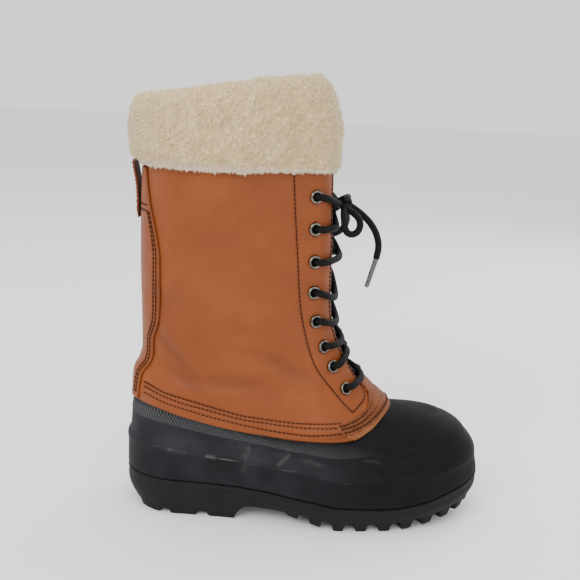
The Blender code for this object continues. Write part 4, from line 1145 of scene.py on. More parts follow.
# %% The pull loop
LOOP_WIDTH = 0.020
LOOP_WALL = 0.0018
LOOP_LEVEL = 7.86
LOOP_FOOT = 0.35
LOOP_STEP = 0.0011
LOOP_TAPER = 0.0064
STRAP_ROW_IN = 0.0022
LOOP_LINE = {
    "out": (0.195, 0.195, 0.200, 0.250, 0.350, 0.380, 0.345, 0.255, 0.190, 0.170),
    "up":  (-2.17, -1.85, -1.345, -0.755, -0.235, -0.030, 0.070, 0.105, 0.060, -0.060),
}
STRAP_HEIGHTS = [skin(0.0, level)[2] for level in CROSS_LEVELS]
collar = skin(0.0, LOOP_LEVEL)
line = [(collar[0] - out * LOOP_WIDTH, collar[1], collar[2] + up * LOOP_WIDTH)
        for out, up in zip(LOOP_LINE["out"], LOOP_LINE["up"])]
line = through(line, LOOP_STEP)
ahead = unit(np.gradient(line, axis=0))
outside = np.stack([-ahead[:, 2], np.zeros(len(line)), ahead[:, 0]], -1)
wall = LOOP_WALL * mix(LOOP_FOOT, 1.0, ease(0.0, LOOP_TAPER, np.arange(len(line)) * LOOP_STEP))
section = np.array([(x, 0.0) for x in np.linspace(0.5, -0.5, 13)]
                   + [(-0.5, 0.5), (-0.485, 0.86)]
                   + [(x, 1.0) for x in np.linspace(-0.46, 0.46, 13)] + [(0.485, 0.86), (0.5, 0.5)])
points = (line[:, None] + np.array([0, 1, 0]) * section[:, :1][None] * LOOP_WIDTH
          + outside[:, None] * section[:, 1:][None] * wall[:, None, None])
faces = [grid_faces(len(line), len(section), closed=True)[:, ::-1]]
rim = np.arange(len(section))[None]
faces += [rim, rim[:, ::-1] + (len(line) - 1) * len(section)]
uv = measured_uv(points).reshape(-1, 2)
# Both marks paint the strap's underside darker: painted shade. The rub on its edges is wear, and
# the fold mark darkens the whole strap a little.
near_edge = np.clip((np.abs(section[:, 0]) - 0.40) * 12, 0, 1)
under = (section[:, 1] < 0.4) * 1.0
pull_loop = make_mesh("pull_strap", points.reshape(-1, 3), faces, uv,
                      {"rub": np.tile(np.maximum(near_edge * 0.7, under), len(line)),
                       "fold": np.tile(0.35 + 0.65 * under, len(line))}, leather)
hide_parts("pull_loop")
face_at = line + outside * (wall[:, None] + 0.0001)
strap_rows = []
foot = int(np.argmin(np.abs(line[:, 2] - STRAP_HEIGHTS[0])))
for side in (-1, 1):
    way = face_at + np.array([0, side * (LOOP_WIDTH / 2 - STRAP_ROW_IN), 0])
    strap_rows.append((way[foot:], outside[foot:]))
for height in STRAP_HEIGHTS:
    station = int(np.argmin(np.abs(line[:, 2] - height)))
    reach = np.arange(-LOOP_WIDTH / 2 + 0.001, LOOP_WIDTH / 2 - 0.0005, 0.0007)
    way = face_at[station] + np.array([0, 1, 0]) * reach[:, None]
    strap_rows.append((way, np.tile(outside[station], (len(way), 1))))
strap_parts = []
for way, out in strap_rows:
    for start in range(0, len(way) - 3, 3):
        bow = out[start:start + 3] * np.array([[-0.4], [0.3], [-0.4]]) * THREAD_DIAMETER
        strap_parts.append(tube(way[start:start + 3] + bow, THREAD_DIAMETER / 2, STITCH_SIDES))
points, faces, uv = join(strap_parts)
make_mesh("strap_stitches", points, faces, uv, finish=thread)
print("pull loop:", len(line), "stations")

# %% [markdown]
# ## Eyelets
# Each eyelet is a nickel tube, rolled out into a round flange over the leather. Antique nickel is
# dark in its hollows and bright where it has rubbed, so the tint follows small noise, and the
# roughness with it.

# %% Eyelets
nickel = Finish("antique_nickel", Metallic=0.95)
tarnish = nickel.noise(0.0022, 4.0).step(0.35, 0.68)
nickel.feed("Base Color", nickel.blend(tarnish, (0.200, 0.180, 0.160), (0.060, 0.053, 0.047)))
nickel.feed("Roughness", 0.27 + tarnish * 0.20)

EYELET_PROFILE = {
    "radius": (3.05, 3.02, 3.08, 3.30, 3.72, 4.20, 4.68, 5.02, 5.16, 5.10, 4.80, 4.2, 3.4, 3.4),
    "height": (-3.0, -0.6, 0.40, 0.95, 1.25, 1.35, 1.22, 0.90, 0.50, 0.15, -0.05, -0.1, -0.2, -3.0),
}
EYELET_SIDES = 36


def eyelet_frame(side, level):
    """An eyelet's place on the leather, the way out of it, and two ways across."""
    u = side * eyelet_line(level)
    normal = skin(u, level, 1.0) - skin(u, level)
    up = skin(u, level + 0.05) - skin(u, level - 0.05)
    up -= normal * up.dot(normal)
    up /= np.linalg.norm(up)
    return skin(u, level), normal, up, np.cross(up, normal)


def eyelet_row(name, side, nodes):
    parts = []
    for level in EYELET_LEVELS:
        place, normal, up, over = eyelet_frame(side, level)
        angle = 2 * np.pi * np.arange(EYELET_SIDES) / EYELET_SIDES
        spoke = over * np.cos(angle)[:, None] + up * np.sin(angle)[:, None]
        radius = np.array(EYELET_PROFILE["radius"])[:, None, None] * MM
        height = np.array(EYELET_PROFILE["height"])[:, None, None] * MM
        points = place + spoke[None] * radius + normal * height
        quads = grid_faces(len(radius), EYELET_SIDES, closed=True)[:, ::-1]
        parts.append((points.reshape(-1, 3), [quads], np.zeros((points[..., 0].size, 2))))
    points, faces, uv = join(parts)
    piece = make_mesh(name, points, faces, uv, finish=nickel)
    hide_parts(*nodes)
    return piece


for side, name in ((1, "lateral"), (-1, "medial")):
    nodes = [f"eyelet_{name}_{number}" for number in range(1, len(EYELET_LEVELS) + 1)]
    eyelet_row(f"eyelets_{name}", side, nodes)
print("eyelets:", 2 * len(EYELET_LEVELS))

# %% [markdown]
# ## The laced run
# The lace leaves each eyelet over the leather, sags a little on its way to the throat's edge,
# crosses its partner in front of the tongue and goes under the other quarter to the next eyelet up,
# where it stops behind the leather. The sags differ, as they do on a worn boot.

# %% The laced run
SAG = (0.0, 1.2, 0.0, 7.5, 5.5, 2.2, -3.0, 0.8)
BULGE = (0.0, 0.0, 2.8, 0.3, 0.0, 0.0, 0.0, 0.0)
STRAND = {
    "way":   (0.00, 0.03, 0.07, 0.14, 0.24, 0.36, 0.44, 0.50, 0.58, 0.66, 0.71, 0.82, 0.93, 1.00),
    "out":   (-6.5, -1.0, 3.0, 3.6, 3.2, 2.5, 1.1, 0.2, -1.6, -3.8, -4.9, -5.4, -5.4, -5.0),
    "sag":   (0.00, 0.00, 0.05, 0.30, 0.65, 1.00, 0.95, 0.70, 0.30, 0.10, 0.05, 0.00, 0.00, 0.00),
    "climb": (0.00, 0.00, 0.00, 0.01, 0.03, 0.05, 0.08, 0.16, 0.40, 0.62, 0.73, 0.88, 0.97, 1.00),
    "bulge": (0.00, 0.00, 0.00, 0.00, 0.10, 0.60, 1.00, 0.90, 0.50, 0.10, 0.00, 0.00, 0.00, 0.00),
    "drop":  (0.00, 0.00, 0.00, 0.00, 0.00, 0.10, 0.75, 1.00, 0.65, 0.15, 0.00, 0.00, 0.00, 0.00),
}
UNDER_DROP = 4.4
RUN_SIDES = 14


def strand(side, number):
    """One strand from an eyelet on a side to the next one up on the other side."""
    level, above = EYELET_LEVELS[number], EYELET_LEVELS[number - 1]
    per_level = abs(skin(0.9, level + 0.1)[2] - skin(0.9, level - 0.1)[2]) / 0.2
    stops_at = {
        "way": (0.0, 0.36, 0.50, 0.71, 1.0),
        "u": (eyelet_line(level), throat_edge(level), 1.0, 2.0 - throat_edge(above),
              2.0 - eyelet_line(above)),
    }
    points = []
    for way, out, sag, climb, bulge, drop in zip(*STRAND.values()):
        u = float(smooth(stops_at, "u", way))
        v = mix(level, above, climb) - sag * SAG[number] * MM / per_level
        out += bulge * BULGE[number] - (drop * UNDER_DROP if side < 0 else 0.0)
        points.append(skin(wrap(side * u), v, out * MM))
    return points


laces = []
for number in range(1, len(EYELET_LEVELS)):
    for side in (1, -1):
        path = through(strand(side, number), LACE_STEP)
        laces.append(tube(path, LACE_DIAMETER / 2, RUN_SIDES))
top = EYELET_LEVELS[0]
for side in (1, -1):
    us = [eyelet_line(top), eyelet_line(top) + 0.004, eyelet_line(top) + 0.03, 0.88, 0.93]
    vs = [top, top, top - 0.02, top - 0.09, top - 0.17]
    outs = [-6.0, -1.0, 3.6, 3.4, 3.2]
    points = [skin(side * a, b, c * MM) for a, b, c in zip(us, vs, outs)]
    points.append(knot_middle + np.array([-2.0, -side * 6.0, 0.5]) * MM)
    points.append(knot_middle)
    laces.append(tube(through(points, LACE_STEP), LACE_DIAMETER / 2, RUN_SIDES))
points, faces, uv = join(laces)
lace_run = make_mesh("lace_run", points, faces, uv, finish=braid)
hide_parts(*[f"lace_crossing_{n}" for n in range(1, 8)], "lace_top")
print("lace run:", len(laces), "strands")

# %% [markdown]
# ## Rubber bottom
# The bottom is moulded in one: a foxing band above the sole with a raised mould line on top, then a
# dome that narrows to the leather. Below the leather's edge runs a knurled band of fine crossed
# lines that fades before the toe. Years of wear left pale scuffs along the mould line and two bent
# creases. The rubber is paler in cloudy patches behind the toe and above the mould line.

# %% The rubber's finish
rubber = Finish("shell_rubber", Specular_IOR_Level=0.08)
knurl_along, knurl_up = rubber.across()
KNURL_PITCH = 0.0034
knurl_turn = 2 * math.pi / KNURL_PITCH
lines = ((knurl_along * 1.2 + knurl_up * 1.3) * knurl_turn).wave().step(0.55, 0.98)
lines = lines.most(((knurl_along * 1.2 - knurl_up * 1.3) * knurl_turn).wave().step(0.6, 1.0) * 0.7)
knurl = rubber.mark("knurl")
scuff = rubber.mark("scuff")
dusty = rubber.mark("dusty")
bloom = rubber.noise(0.030, 5.0).step(0.38, 0.72)
specks = rubber.noise(0.0016, 3.0, 0.7).step(0.62, 0.80)
streaks = rubber.noise(0.006, 4.0, 0.6, stretch=(0.35, 0.35, 1.6)).step(0.45, 0.75)
# This mark makes the rubber paler in cloudy patches behind the toe and above the mould line, and
# leaves the toe darker.
black = rubber.blend(dusty * (0.45 + bloom * 0.55), (0.0022, 0.0024, 0.0029),
                     (0.0235, 0.0240, 0.0280))
black = rubber.blend(streaks * 0.22, black, (0.016, 0.0165, 0.018))
black = rubber.blend(specks * 0.12, black, (0.070, 0.068, 0.063))
# The knurl's raised lines are painted pale, one direction fainter than the other: a painted
# highlight on the ridges.
black = rubber.blend(knurl * lines * 0.85, black, (0.125, 0.127, 0.130))
black = rubber.blend((scuff * (0.45 + streaks * 0.8)).least(1.0), black, (0.160, 0.150, 0.132))
rubber.feed("Base Color", black)
rubber.feed("Roughness", 0.56 + bloom * 0.12 + streaks * 0.08 + scuff * 0.2)
rubber.relief(knurl * lines * 0.9 + streaks * 0.06 + specks * 0.04, 0.0006)
print("rubber finish made")

# %% Profile of the bottom
RUBBER_WALL = 0.0030
TUCK = 0.0031
HEEL_FILL_REACH = 0.17
FRONT_STEP = 0.0005
FOLD_SHARE = 0.8
STROKE_STEP = 0.0015
INNER_SCUFFS = (0.8, 0.96, 0.03)
FOXING = {
    "level": (-1.00, -0.975, -0.93, -0.80, -0.50, -0.20, -0.13, -0.08, -0.02, 0.03, 0.08,
              0.16, 0.26, 1.60),
    "out":   (0.00, 1.20, 1.70, 1.70, 1.70, 1.80, 1.90, 2.30, 2.40, 2.00, 0.60,
              -1.60, -3.10, -3.10),
}
KNURL_FOOT = {
    "u":     (0.00, 0.085, 0.164, 0.236, 0.304, 0.370, 0.576, 0.80, 1.00),
    "level": (0.56, 0.56, 0.56, 0.49, 0.42, 0.40, 0.44, 0.55, 0.62),
}
SCUFFS = (
    (((0.100, 0.02), (0.125, 0.03), (0.150, 0.04), (0.172, 0.04)), 0.45, 0.30),
    (((0.172, 0.04), (0.205, 0.01), (0.229, -0.02)), 0.55, 0.60),
    (((0.262, -0.06), (0.276, -0.05), (0.292, -0.07)), 1.2, 0.90),
    (((0.292, -0.07), (0.333, -0.10), (0.348, -0.12)), 0.45, 0.75),
    (((0.355, -0.13), (0.400, -0.10), (0.440, -0.06), (0.490, 0.02)), 0.45, 0.40),
    (((0.373, 0.40), (0.369, 0.26), (0.362, 0.08), (0.356, -0.10)), 0.8, 0.36),
    (((0.364, 0.36), (0.358, 0.20), (0.354, 0.02)), 0.5, 0.34),
    (((0.354, -0.18), (0.352, -0.50)), 1.6, 0.14),
    (((0.432, 0.02), (0.447, 0.14), (0.463, 0.28), (0.476, 0.38)), 1.3, 0.42),
    (((0.520, 0.02), (0.560, 0.01), (0.600, -0.02)), 0.45, 0.35),
    (((0.490, 0.20), (0.515, 0.24), (0.540, 0.20)), 1.6, 0.16),
    (((0.650, 0.42), (0.675, 0.40), (0.690, 0.34)), 1.2, 0.16),
)
RUBBER_FOLDS = (
    (((0.372, 0.70), (0.368, 0.30), (0.358, -0.05), (0.352, -0.70)), -0.7, 2.2),
    (((0.388, 0.62), (0.384, 0.30), (0.376, 0.00)), 0.5, 2.5),
    (((0.418, -0.05), (0.445, 0.16), (0.470, 0.40), (0.490, 0.62)), 0.6, 2.4),
    (((0.440, -0.05), (0.466, 0.16), (0.492, 0.40)), -0.6, 2.6),
    (((0.620, 0.10), (0.650, 0.34), (0.700, 0.50), (0.760, 0.52)), -0.8, 3.6),
    (((0.600, 0.30), (0.640, 0.52), (0.700, 0.68), (0.780, 0.70)), 0.7, 3.6),
    (((0.700, 0.70), (0.800, 0.55), (0.900, 0.60), (1.000, 0.66)), -0.5, 4.0),
)


def routed(points, routes, sides=(1, -1)):
    """Sum of soft strokes along routes of (u, v), each with an amount and a width in mm."""
    total = np.zeros(points.shape[:-1]).ravel()
    flat = points.reshape(-1, 3)
    for side in sides:
        for route, amount, width in routes:
            way = skin([side * a for a, b in route], [b for a, b in route])
            way = through(way, STROKE_STEP)
            reach = 3 * width * MM
            inside = np.all((flat > way.min(0) - reach) & (flat < way.max(0) + reach), axis=1)
            gaps = np.linalg.norm(flat[inside][:, None] - way[None], axis=-1)
            share = gaps.argmin(1) / (len(way) - 1)
            fade = np.minimum(1, 6 * np.minimum(share + 0.02, 1.02 - share))
            total[inside] += amount * np.exp(-(gaps.min(1) / (width * MM)) ** 2) * fade
    return total.reshape(points.shape[:-1])


def floor_strips(count, start, up):
    """Faces that close a loop of columns from its outer half to its inner half."""
    k = np.arange(1, count // 2 - 1)
    quads = np.stack([k, k + 1, count - k - 1, count - k], -1)
    half = count // 2
    blocks = [quads, np.array([[0, 1, count - 1]]), np.array([[half, half + 1, half - 1]])]
    return [(block if up else block[:, ::-1]) + start for block in blocks]


# %% Lay the rubber bottom
RUBBER_COLUMNS = 440
INNER_STEP = 4
around_u = -1.0 + 2.0 * np.arange(RUBBER_COLUMNS) / RUBBER_COLUMNS
outer_levels = np.concatenate([np.linspace(-1.0, -0.93, 4), np.linspace(-0.84, -0.22, 12),
                               np.linspace(-0.18, 0.26, 20), np.linspace(0.30, 1.10, 36),
                               np.linspace(1.20, 1.55, 4)])
u, v = np.meshgrid(around_u, outer_levels)
surface = skin(u, v)
fold = routed(surface, RUBBER_FOLDS)
above_foot = v - smooth(KNURL_FOOT, "level", np.abs(u))
knurl = ease(0.0, 0.05, above_foot) * ease(1.25, 1.15, v) * ease(0.74, 0.52, np.abs(u))
front_step = ease(0.0, 0.04, above_foot) * ease(1.25, 1.15, v)
scuff = routed(surface, [(route, strength, width) for route, width, strength in SCUFFS], (1,))
fainter, closer, moved = INNER_SCUFFS
scuff += fainter * routed(surface, [([(a * closer + moved, b) for a, b in route], strength, width)
                                    for route, width, strength in SCUFFS[1:8:2]], (-1,))
# Paler behind the toe and above the mould line, darker at the toe and low on the foxing.
dusty = mix(0.12, 1.0, ease(0.70, 0.42, np.abs(u)) * (0.55 + 0.45 * ease(-0.20, 0.10, v)))
filled = np.maximum(0, 1 - np.abs(u) / HEEL_FILL_REACH) * ease(0.02, 0.12, v) * ease(1.0, 0.86, v)
outer = (smooth(FOXING, "out", v) * (1 - filled) * MM + fold * MM * FOLD_SHARE
         + front_step * FRONT_STEP)
top_points = skin(u, v, outer)
inner_u = around_u[::INNER_STEP]
inner_levels = np.linspace(1.55, -0.86, 24)
u2, v2 = np.meshgrid(inner_u, inner_levels)
under = skin(u2, v2, -TUCK - RUBBER_WALL)
count = top_points.shape[0] * RUBBER_COLUMNS
faces = [grid_faces(len(outer_levels), RUBBER_COLUMNS, closed=True)]
faces.append(grid_faces(len(inner_levels), len(inner_u), closed=True, start=count))
last_outer = (len(outer_levels) - 1) * RUBBER_COLUMNS
k = np.arange(len(inner_u))
n = (k + 1) % len(inner_u)
for step in range(INNER_STEP):
    a = last_outer + k * INNER_STEP + step
    b = last_outer + (k * INNER_STEP + step + 1) % RUBBER_COLUMNS
    faces.append(np.stack([a, b, count + k], -1))
faces.append(np.stack([last_outer + (n * INNER_STEP), count + n, count + k], -1))
faces += floor_strips(RUBBER_COLUMNS, 0, False)
faces += floor_strips(len(inner_u), count + (len(inner_levels) - 1) * len(inner_u), True)
uv = np.concatenate([measured_uv(top_points).reshape(-1, 2), np.zeros((u2.size, 2))])
blank = np.zeros(u2.size)
shell = make_mesh("rubber_bottom", np.concatenate([top_points.reshape(-1, 3),
                                                   under.reshape(-1, 3)]), faces, uv,
                  {"knurl": np.concatenate([knurl.ravel(), blank]),
                   "dusty": np.concatenate([dusty.ravel(), blank]),
                   "scuff": np.concatenate([np.clip(scuff, 0, 1).ravel(), blank])}, rubber)
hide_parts("rubber_shell")
print("rubber bottom:", len(shell.data.polygons), "faces")

# %% [markdown]
# ## Outsole
# The sole is a harder, duller rubber: a plain upright edge that ends in square-cut lugs, a heel
# block, a shallow arch and bars across the middle. The tread keeps the solids' plan, with the
# rounded lip and the dusty lug tips added.

# %% The sole's finish
tread = Finish("tread_rubber", Specular_IOR_Level=0.16)
dust = tread.noise(0.018, 5.0).step(0.40, 0.75)
grit = tread.noise(0.0011, 4.0, 0.7).step(0.5, 0.8)
height = tread.node("ShaderNodeSeparateXYZ", inputs={0: tread.place()}, output="Z")
low = height.step(0.0, 0.013, 1.0, 0.0)
sole_black = tread.blend(dust * 0.7, (0.0060, 0.0060, 0.0060), (0.0130, 0.0126, 0.0120))
sole_black = tread.blend(low * grit * 0.4, sole_black, (0.050, 0.046, 0.040))
sole_black = tread.blend(grit * 0.14, sole_black, (0.036, 0.034, 0.031))
tread.feed("Base Color", sole_black)
tread.feed("Roughness", 0.66 + dust * 0.18)
tread.relief(grit * 0.5 + dust * 0.3, 0.0003)
print("tread finish made")

# %% Lay the outsole
LUG_GROUPS = (
    (0.079, 0.345, 3, 0.63, 0.84),
    (0.437, 0.982, 10, 0.40, 0.64),
)
ARCH_COLUMNS = (0.356, 0.367, 0.378, 0.389, 0.400, 0.411, 0.423)
BAR_HALF = 0.0130
BAR_SLOPE = 0.0012
TIP_ROUND = (0.0008, 0.0010, 0.93)
SOLE_SHARP = math.radians(38)
SOLE_GAP = 0.0004


def lug_columns():
    """Fractions of one half, and how far the tread is down there."""
    beyond, inside, nearly = TIP_ROUND
    columns = [(0.0, 0), (0.026, 0), (0.052, 0), (0.079, 0)]
    for first, last, count, tip_share, root_share in LUG_GROUPS:
        pitch = (last - first) / count
        tip, root = pitch * tip_share / 2, pitch * root_share / 2
        for i in range(count):
            middle = first + pitch * (i + 0.5)
            half = ((tip / 3, 1), (tip - inside, 1), (tip + beyond, nearly), (root, 0))
            columns += [(middle - a, b) for a, b in reversed(half)]
            columns += [(middle + a, b) for a, b in half]
            columns.append((middle + pitch / 2, 0))
        columns += [(arch, 0) for arch in ARCH_COLUMNS if columns[-1][0] < arch]
    return columns + [(0.992, 0), (1.0, 0)]


half_columns = lug_columns()
columns = [(-a, b) for a, b in reversed(half_columns[1:-1])] + half_columns
columns = [columns[-1]] + columns[:-1]
sole_u = np.array([-1.0] + [a for a, b in columns[1:]])
down = np.array([b for a, b in columns], float)
half_count = len(half_columns) - 1
SOLE_ROWS = (
    (0.2, 0.00, 0), (-0.9, 0.02, 0), (-1.5, 0.05, 0), (-1.7, 0.10, 0), (-1.5, 0.16, 0),
    (-1.1, 0.20, 0), (-1.2, 0.30, 0), (-1.4, 0.42, 0), (-1.2, 0.54, 0), (-0.4, 0.66, 0),
    (0.9, 0.79, 0), (2.2, 0.89, 0.05), (3.3, 0.955, 0.45), (4.3, 0.99, 0.90), (5.0, 1.00, 1),
    (9.0, 1.00, 1), (16.0, 1.00, 1), (19.8, 1.00, 1), (20.6, 1.00, 0.8), (22.0, 1.00, 0),
)


def flat_out(u, v):
    normal = read_net(NET_NORMAL, u, v).copy()
    normal[..., 2] = 0
    return unit(normal)


edge_points, edge_out = skin(sole_u, -1.0), flat_out(sole_u, -0.98)
rows = []
for inward, drop, lug in SOLE_ROWS:
    place = edge_points - edge_out * inward * MM
    share = (place[:, 0] + HEEL_SEAT) / SOLE_LENGTH
    top = SOLE_THICKNESS * smooth(SIDE, "top", share) - SOLE_GAP
    base = SOLE_THICKNESS * smooth(SIDE, "base", share)
    depth = LUG_DEPTH * smooth(SIDE, "lug", share)
    place[:, 2] = mix(top, base, drop) - depth * down * lug
    rows.append(place)
side = np.array(rows)
inner = side[-1]
points = side.reshape(-1, 3)
count = len(sole_u)
heel = half_count
faces = [grid_faces(len(SOLE_ROWS), count, closed=True)[:, ::-1]]
faces += floor_strips(count, 0, True)
extra, ring = [], {}
for i in range(1, half_count):
    lateral, medial = inner[(heel + i) % count], inner[heel - i]
    middle = (lateral + medial) / 2
    share = (middle[0] + HEEL_SEAT) / SOLE_LENGTH
    base = SOLE_THICKNESS * smooth(SIDE, "base", share)
    depth = LUG_DEPTH * smooth(SIDE, "lug", share)
    width = np.linalg.norm(lateral - medial) / 2
    reach = min(BAR_HALF, width * 0.8)
    way = (lateral - medial) / (2 * width)
    for key, at, sunk in ((0, reach + BAR_SLOPE, 0.0), (1, reach, 1.0), (2, -reach, 1.0),
                          (3, -reach - BAR_SLOPE, 0.0)):
        at = np.clip(at, -width * 0.95, width * 0.95)
        place = middle + way * at
        place[2] = base - depth * down[heel + i if heel + i < count else 0] * sunk
        ring[i, key] = len(points) + len(extra)
        extra.append(place)
start = (len(SOLE_ROWS) - 1) * count
lines = [[start + heel + i] + [ring[i, key] for key in range(4)] + [start + heel - i]
         for i in range(1, half_count)]
quads = [corners for line, following in zip(lines, lines[1:])
         for corners in zip(line, line[1:], following[1:], following)]
ends = [(b, a, start + heel) for a, b in zip(lines[0], lines[0][1:])]
ends += [(a, b, start) for a, b in zip(lines[-1], lines[-1][1:])]
faces += [np.array(quads), np.array(ends)]
all_points = np.concatenate([points, np.array(extra)])
outsole = make_mesh("lugged_sole", all_points, faces, None, None, tread)
outsole.data.set_sharp_from_angle(angle=SOLE_SHARP)
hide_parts("outsole")
print("outsole:", len(outsole.data.polygons), "faces; lowest", outsole.bound_box[0][2])

# %% [markdown]
# ## Insole
# A felt footbed lies on the floor of the bottom, hardly seen down the shaft. Its solid has the
# right shape, so it stays and only gets a felt finish.

# %% Felt
felt = Finish("wool_felt", Roughness=0.95, Sheen_Weight=0.4)
wool = felt.noise(0.0015, 5.0, 0.7)
felt.feed("Base Color", felt.blend(wool.step(0.3, 0.7), (0.30, 0.27, 0.22), (0.52, 0.48, 0.40)))
felt.relief(wool, 0.0006)
for slot in bpy.data.objects["insole"].material_slots:
    slot.material = felt.material
print("insole finished")

# %% [markdown]
# ## Shearling cuff
# The cuff is sheepskin with its wool sheared to an even depth. It rolls over the collar, fat and
# soft, with a crease just above its lower edge. Hair could be grown on it, but a mesh shows in
# every viewer, so a skin of soft lumps comes first and carries a pile of small solid tufts.

# %% The wool's finish
CREAM = (0.99, 0.78, 0.44)
PALE = (1.0, 0.89, 0.66)
# A deep brown, used for painted shade at the roots of the wool.
ROOT_SHADE_COLOUR = (0.38, 0.245, 0.11)
wool_finish = Finish("shearling_wool", Roughness=0.95, Sheen_Weight=0.10, Sheen_Roughness=0.6,
                     Specular_IOR_Level=0.10)
tint = wool_finish.noise(0.016, 3.0).step(0.32, 0.70)
small = wool_finish.noise(0.0030, 3.0, stretch=(1.0, 1.0, 0.55)).step(0.32, 0.70)
tip = wool_finish.mark("tip")
low_roll = wool_finish.mark("roll")
cream = wool_finish.blend(tint * 0.7, CREAM, (1.0, 0.84, 0.52))
cream = wool_finish.blend(small * 0.40, cream, PALE)
# Painted shade: the tip mark darkens the wool to a deep brown at the tufts' roots, in the hollows
# between lumps and in the roll's crease.
cream = wool_finish.blend((1.0 - tip) * 0.65, cream, ROOT_SHADE_COLOUR)
cream = wool_finish.blend(low_roll * 0.60, cream, (0.98, 0.80, 0.64))
wool_finish.feed("Base Color", cream)
print("wool finish made")

# %% The cuff's form
CUFF_FLAP = 0.0135
CUFF_INSIDE = 0.034
CUFF_RISE_BACK = 0.046
CUFF_RISE_FRONT = 0.067
CUFF_BACK_LIFT = 0.0055
CUFF_FRONT_SHARE = 0.25
CUFF_LEAN = 0.016
CUFF_SECTION = {
    "at":  tuple(range(17)),
    "out": (0.17, 0.45, 0.80, 0.97, 1.02, 1.00, 0.86, 0.52, 0.02, -0.50, -0.86, -0.98, -0.90,
            -0.70, -0.48, -0.46, 0.17),
    "up":  (-0.05, -0.07, -0.03, 0.10, 0.35, 0.62, 0.84, 0.97, 1.00, 0.96, 0.80, 0.45, -0.20,
            -0.50, -0.48, 0.06, 0.06),
}


def cuff_point(u, at):
    """A point of the cuff at a fraction round the collar and a place round its section."""
    out, up = smooth(CUFF_SECTION, "out", at), smooth(CUFF_SECTION, "up", at)
    base, level = skin(u, 8.0), flat_out(u, 7.9)
    side = np.abs(wrap(u))
    turn = (1 - np.cos(np.pi * side)) / 2
    rise = mix(CUFF_RISE_BACK, CUFF_RISE_FRONT, turn)
    drop = np.where((out < -0.2) & (up < 0), CUFF_INSIDE, rise)
    lift = CUFF_BACK_LIFT * np.maximum(0, 1 - side / 0.10) * ease(0.2, 0.0, up) * (out > 0)
    front = mix(1.0, CUFF_FRONT_SHARE, np.maximum(0, (side - 0.55) / 0.45) ** 1.5)
    flap = CUFF_FLAP * mix(1.0, front, ease(0.1, 0.4, out))
    lean = CUFF_LEAN * np.maximum(up, 0) ** 3 * turn ** 2
    point = base + level * (out * flap - 0.0011)[..., None]
    point[..., 2] += up * drop + lift
    point[..., 0] -= lean
    return point


def lumps(points, size, seed, count=6):
    """Smooth rolling noise from a few waves in set directions."""
    waves = np.random.default_rng(seed)
    total = np.zeros(points.shape[:-1])
    for _ in range(count * 4):
        way = waves.normal(0, 1, 3)
        way *= 2 * np.pi / (size * waves.uniform(0.7, 1.5)) / np.linalg.norm(way)
        total += np.sin(points @ way + waves.uniform(0, 2 * np.pi))
    return total / math.sqrt(count * 2)


CURLS = ((0.0055, 3, 0.00045), (0.020, 4, 0.0005))
CREASE_AT = 1.7
CREASE_REACH = 0.22
CREASE_DEPTH = 0.0026
PILE_ROOM = 0.0014
HANG_BACK = 0.0034
HANG_FRONT = 0.0012
CUFF_COLUMNS = 300
CUFF_ROWS = 130
cuff_u = -1.0 + 2.0 * np.arange(CUFF_COLUMNS) / CUFF_COLUMNS
cuff_at = np.linspace(0.0, 16.0, CUFF_ROWS + 1)[:-1]
at, u = np.meshgrid(cuff_at, cuff_u, indexing="ij")
smooth_cuff = cuff_point(u, at)
hang = ease(1.6, 0.5, at) * mix(HANG_FRONT, HANG_BACK, ease(0.70, 0.45, np.abs(u)))
smooth_cuff[..., 2] -= hang
padded = np.concatenate([smooth_cuff[:, -1:], smooth_cuff, smooth_cuff[:, :1]], axis=1)
along = padded[:, 2:] - padded[:, :-2]
padded = np.concatenate([smooth_cuff[-1:], smooth_cuff, smooth_cuff[:1]], axis=0)
over = padded[2:] - padded[:-2]
cuff_normal = unit(np.cross(along, over), 1e-9)
open_wool = ease(0.0, 1.2, at) * ease(13.6, 12.6, at)
roll_crease = np.exp(-((at - CREASE_AT) / CREASE_REACH) ** 2)
curl = sum(lumps(smooth_cuff, size, seed) * height for size, seed, height in CURLS)
shift = (curl - roll_crease * CREASE_DEPTH) * open_wool - PILE_ROOM * open_wool
skin_points = smooth_cuff + cuff_normal * shift[..., None]
# Painted shade: the skin is darker in the hollows between lumps and in the crease.
skin_shade = np.clip(0.45 + curl / 0.0030 - roll_crease * 0.4, 0, 1)
roll = ease(2.0, 1.4, at) * ease(0.1, 0.6, at)
cuff_faces = [grid_faces(CUFF_ROWS, CUFF_COLUMNS, closed=True)]
k = np.arange(CUFF_COLUMNS)
n = (k + 1) % CUFF_COLUMNS
last = (CUFF_ROWS - 1) * CUFF_COLUMNS
cuff_faces.append(np.stack([last + k, last + n, n, k], -1))
cuff = make_mesh("shearling_skin", skin_points.reshape(-1, 3), cuff_faces, None,
                 {"tip": skin_shade.ravel() * 0.8, "roll": roll.ravel()}, wool_finish)
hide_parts("fur_cuff")
print("cuff skin:", len(cuff.data.polygons), "faces")

# %% [markdown]
# The pile is scattered evenly by area. Each tuft is a thin three-sided spike. A slow field of
# lumps leans the spikes towards its crests and lets them grow longer there, so they gather into
# small soft clumps as real wool does. Spikes this thin catch light at random, which looks like
# straw, so their shading normals are turned half of the way to the skin's.

# %% Grow the pile
TUFTS = 168000
TUFT_LENGTH = 0.0024
TUFT_WIDTH = 0.00066
PILE_PIECES = 4
SOFTNESS = 0.50
CLUMP = 0.0034
CLUMP_PULL = 0.00026
CLUMP_SEED = 21
STRAY = 0.26
DROOP = 0.10
ROOT_SHADE = 0.25
SPOKES = 3
FIELD_STEP = 0.0002


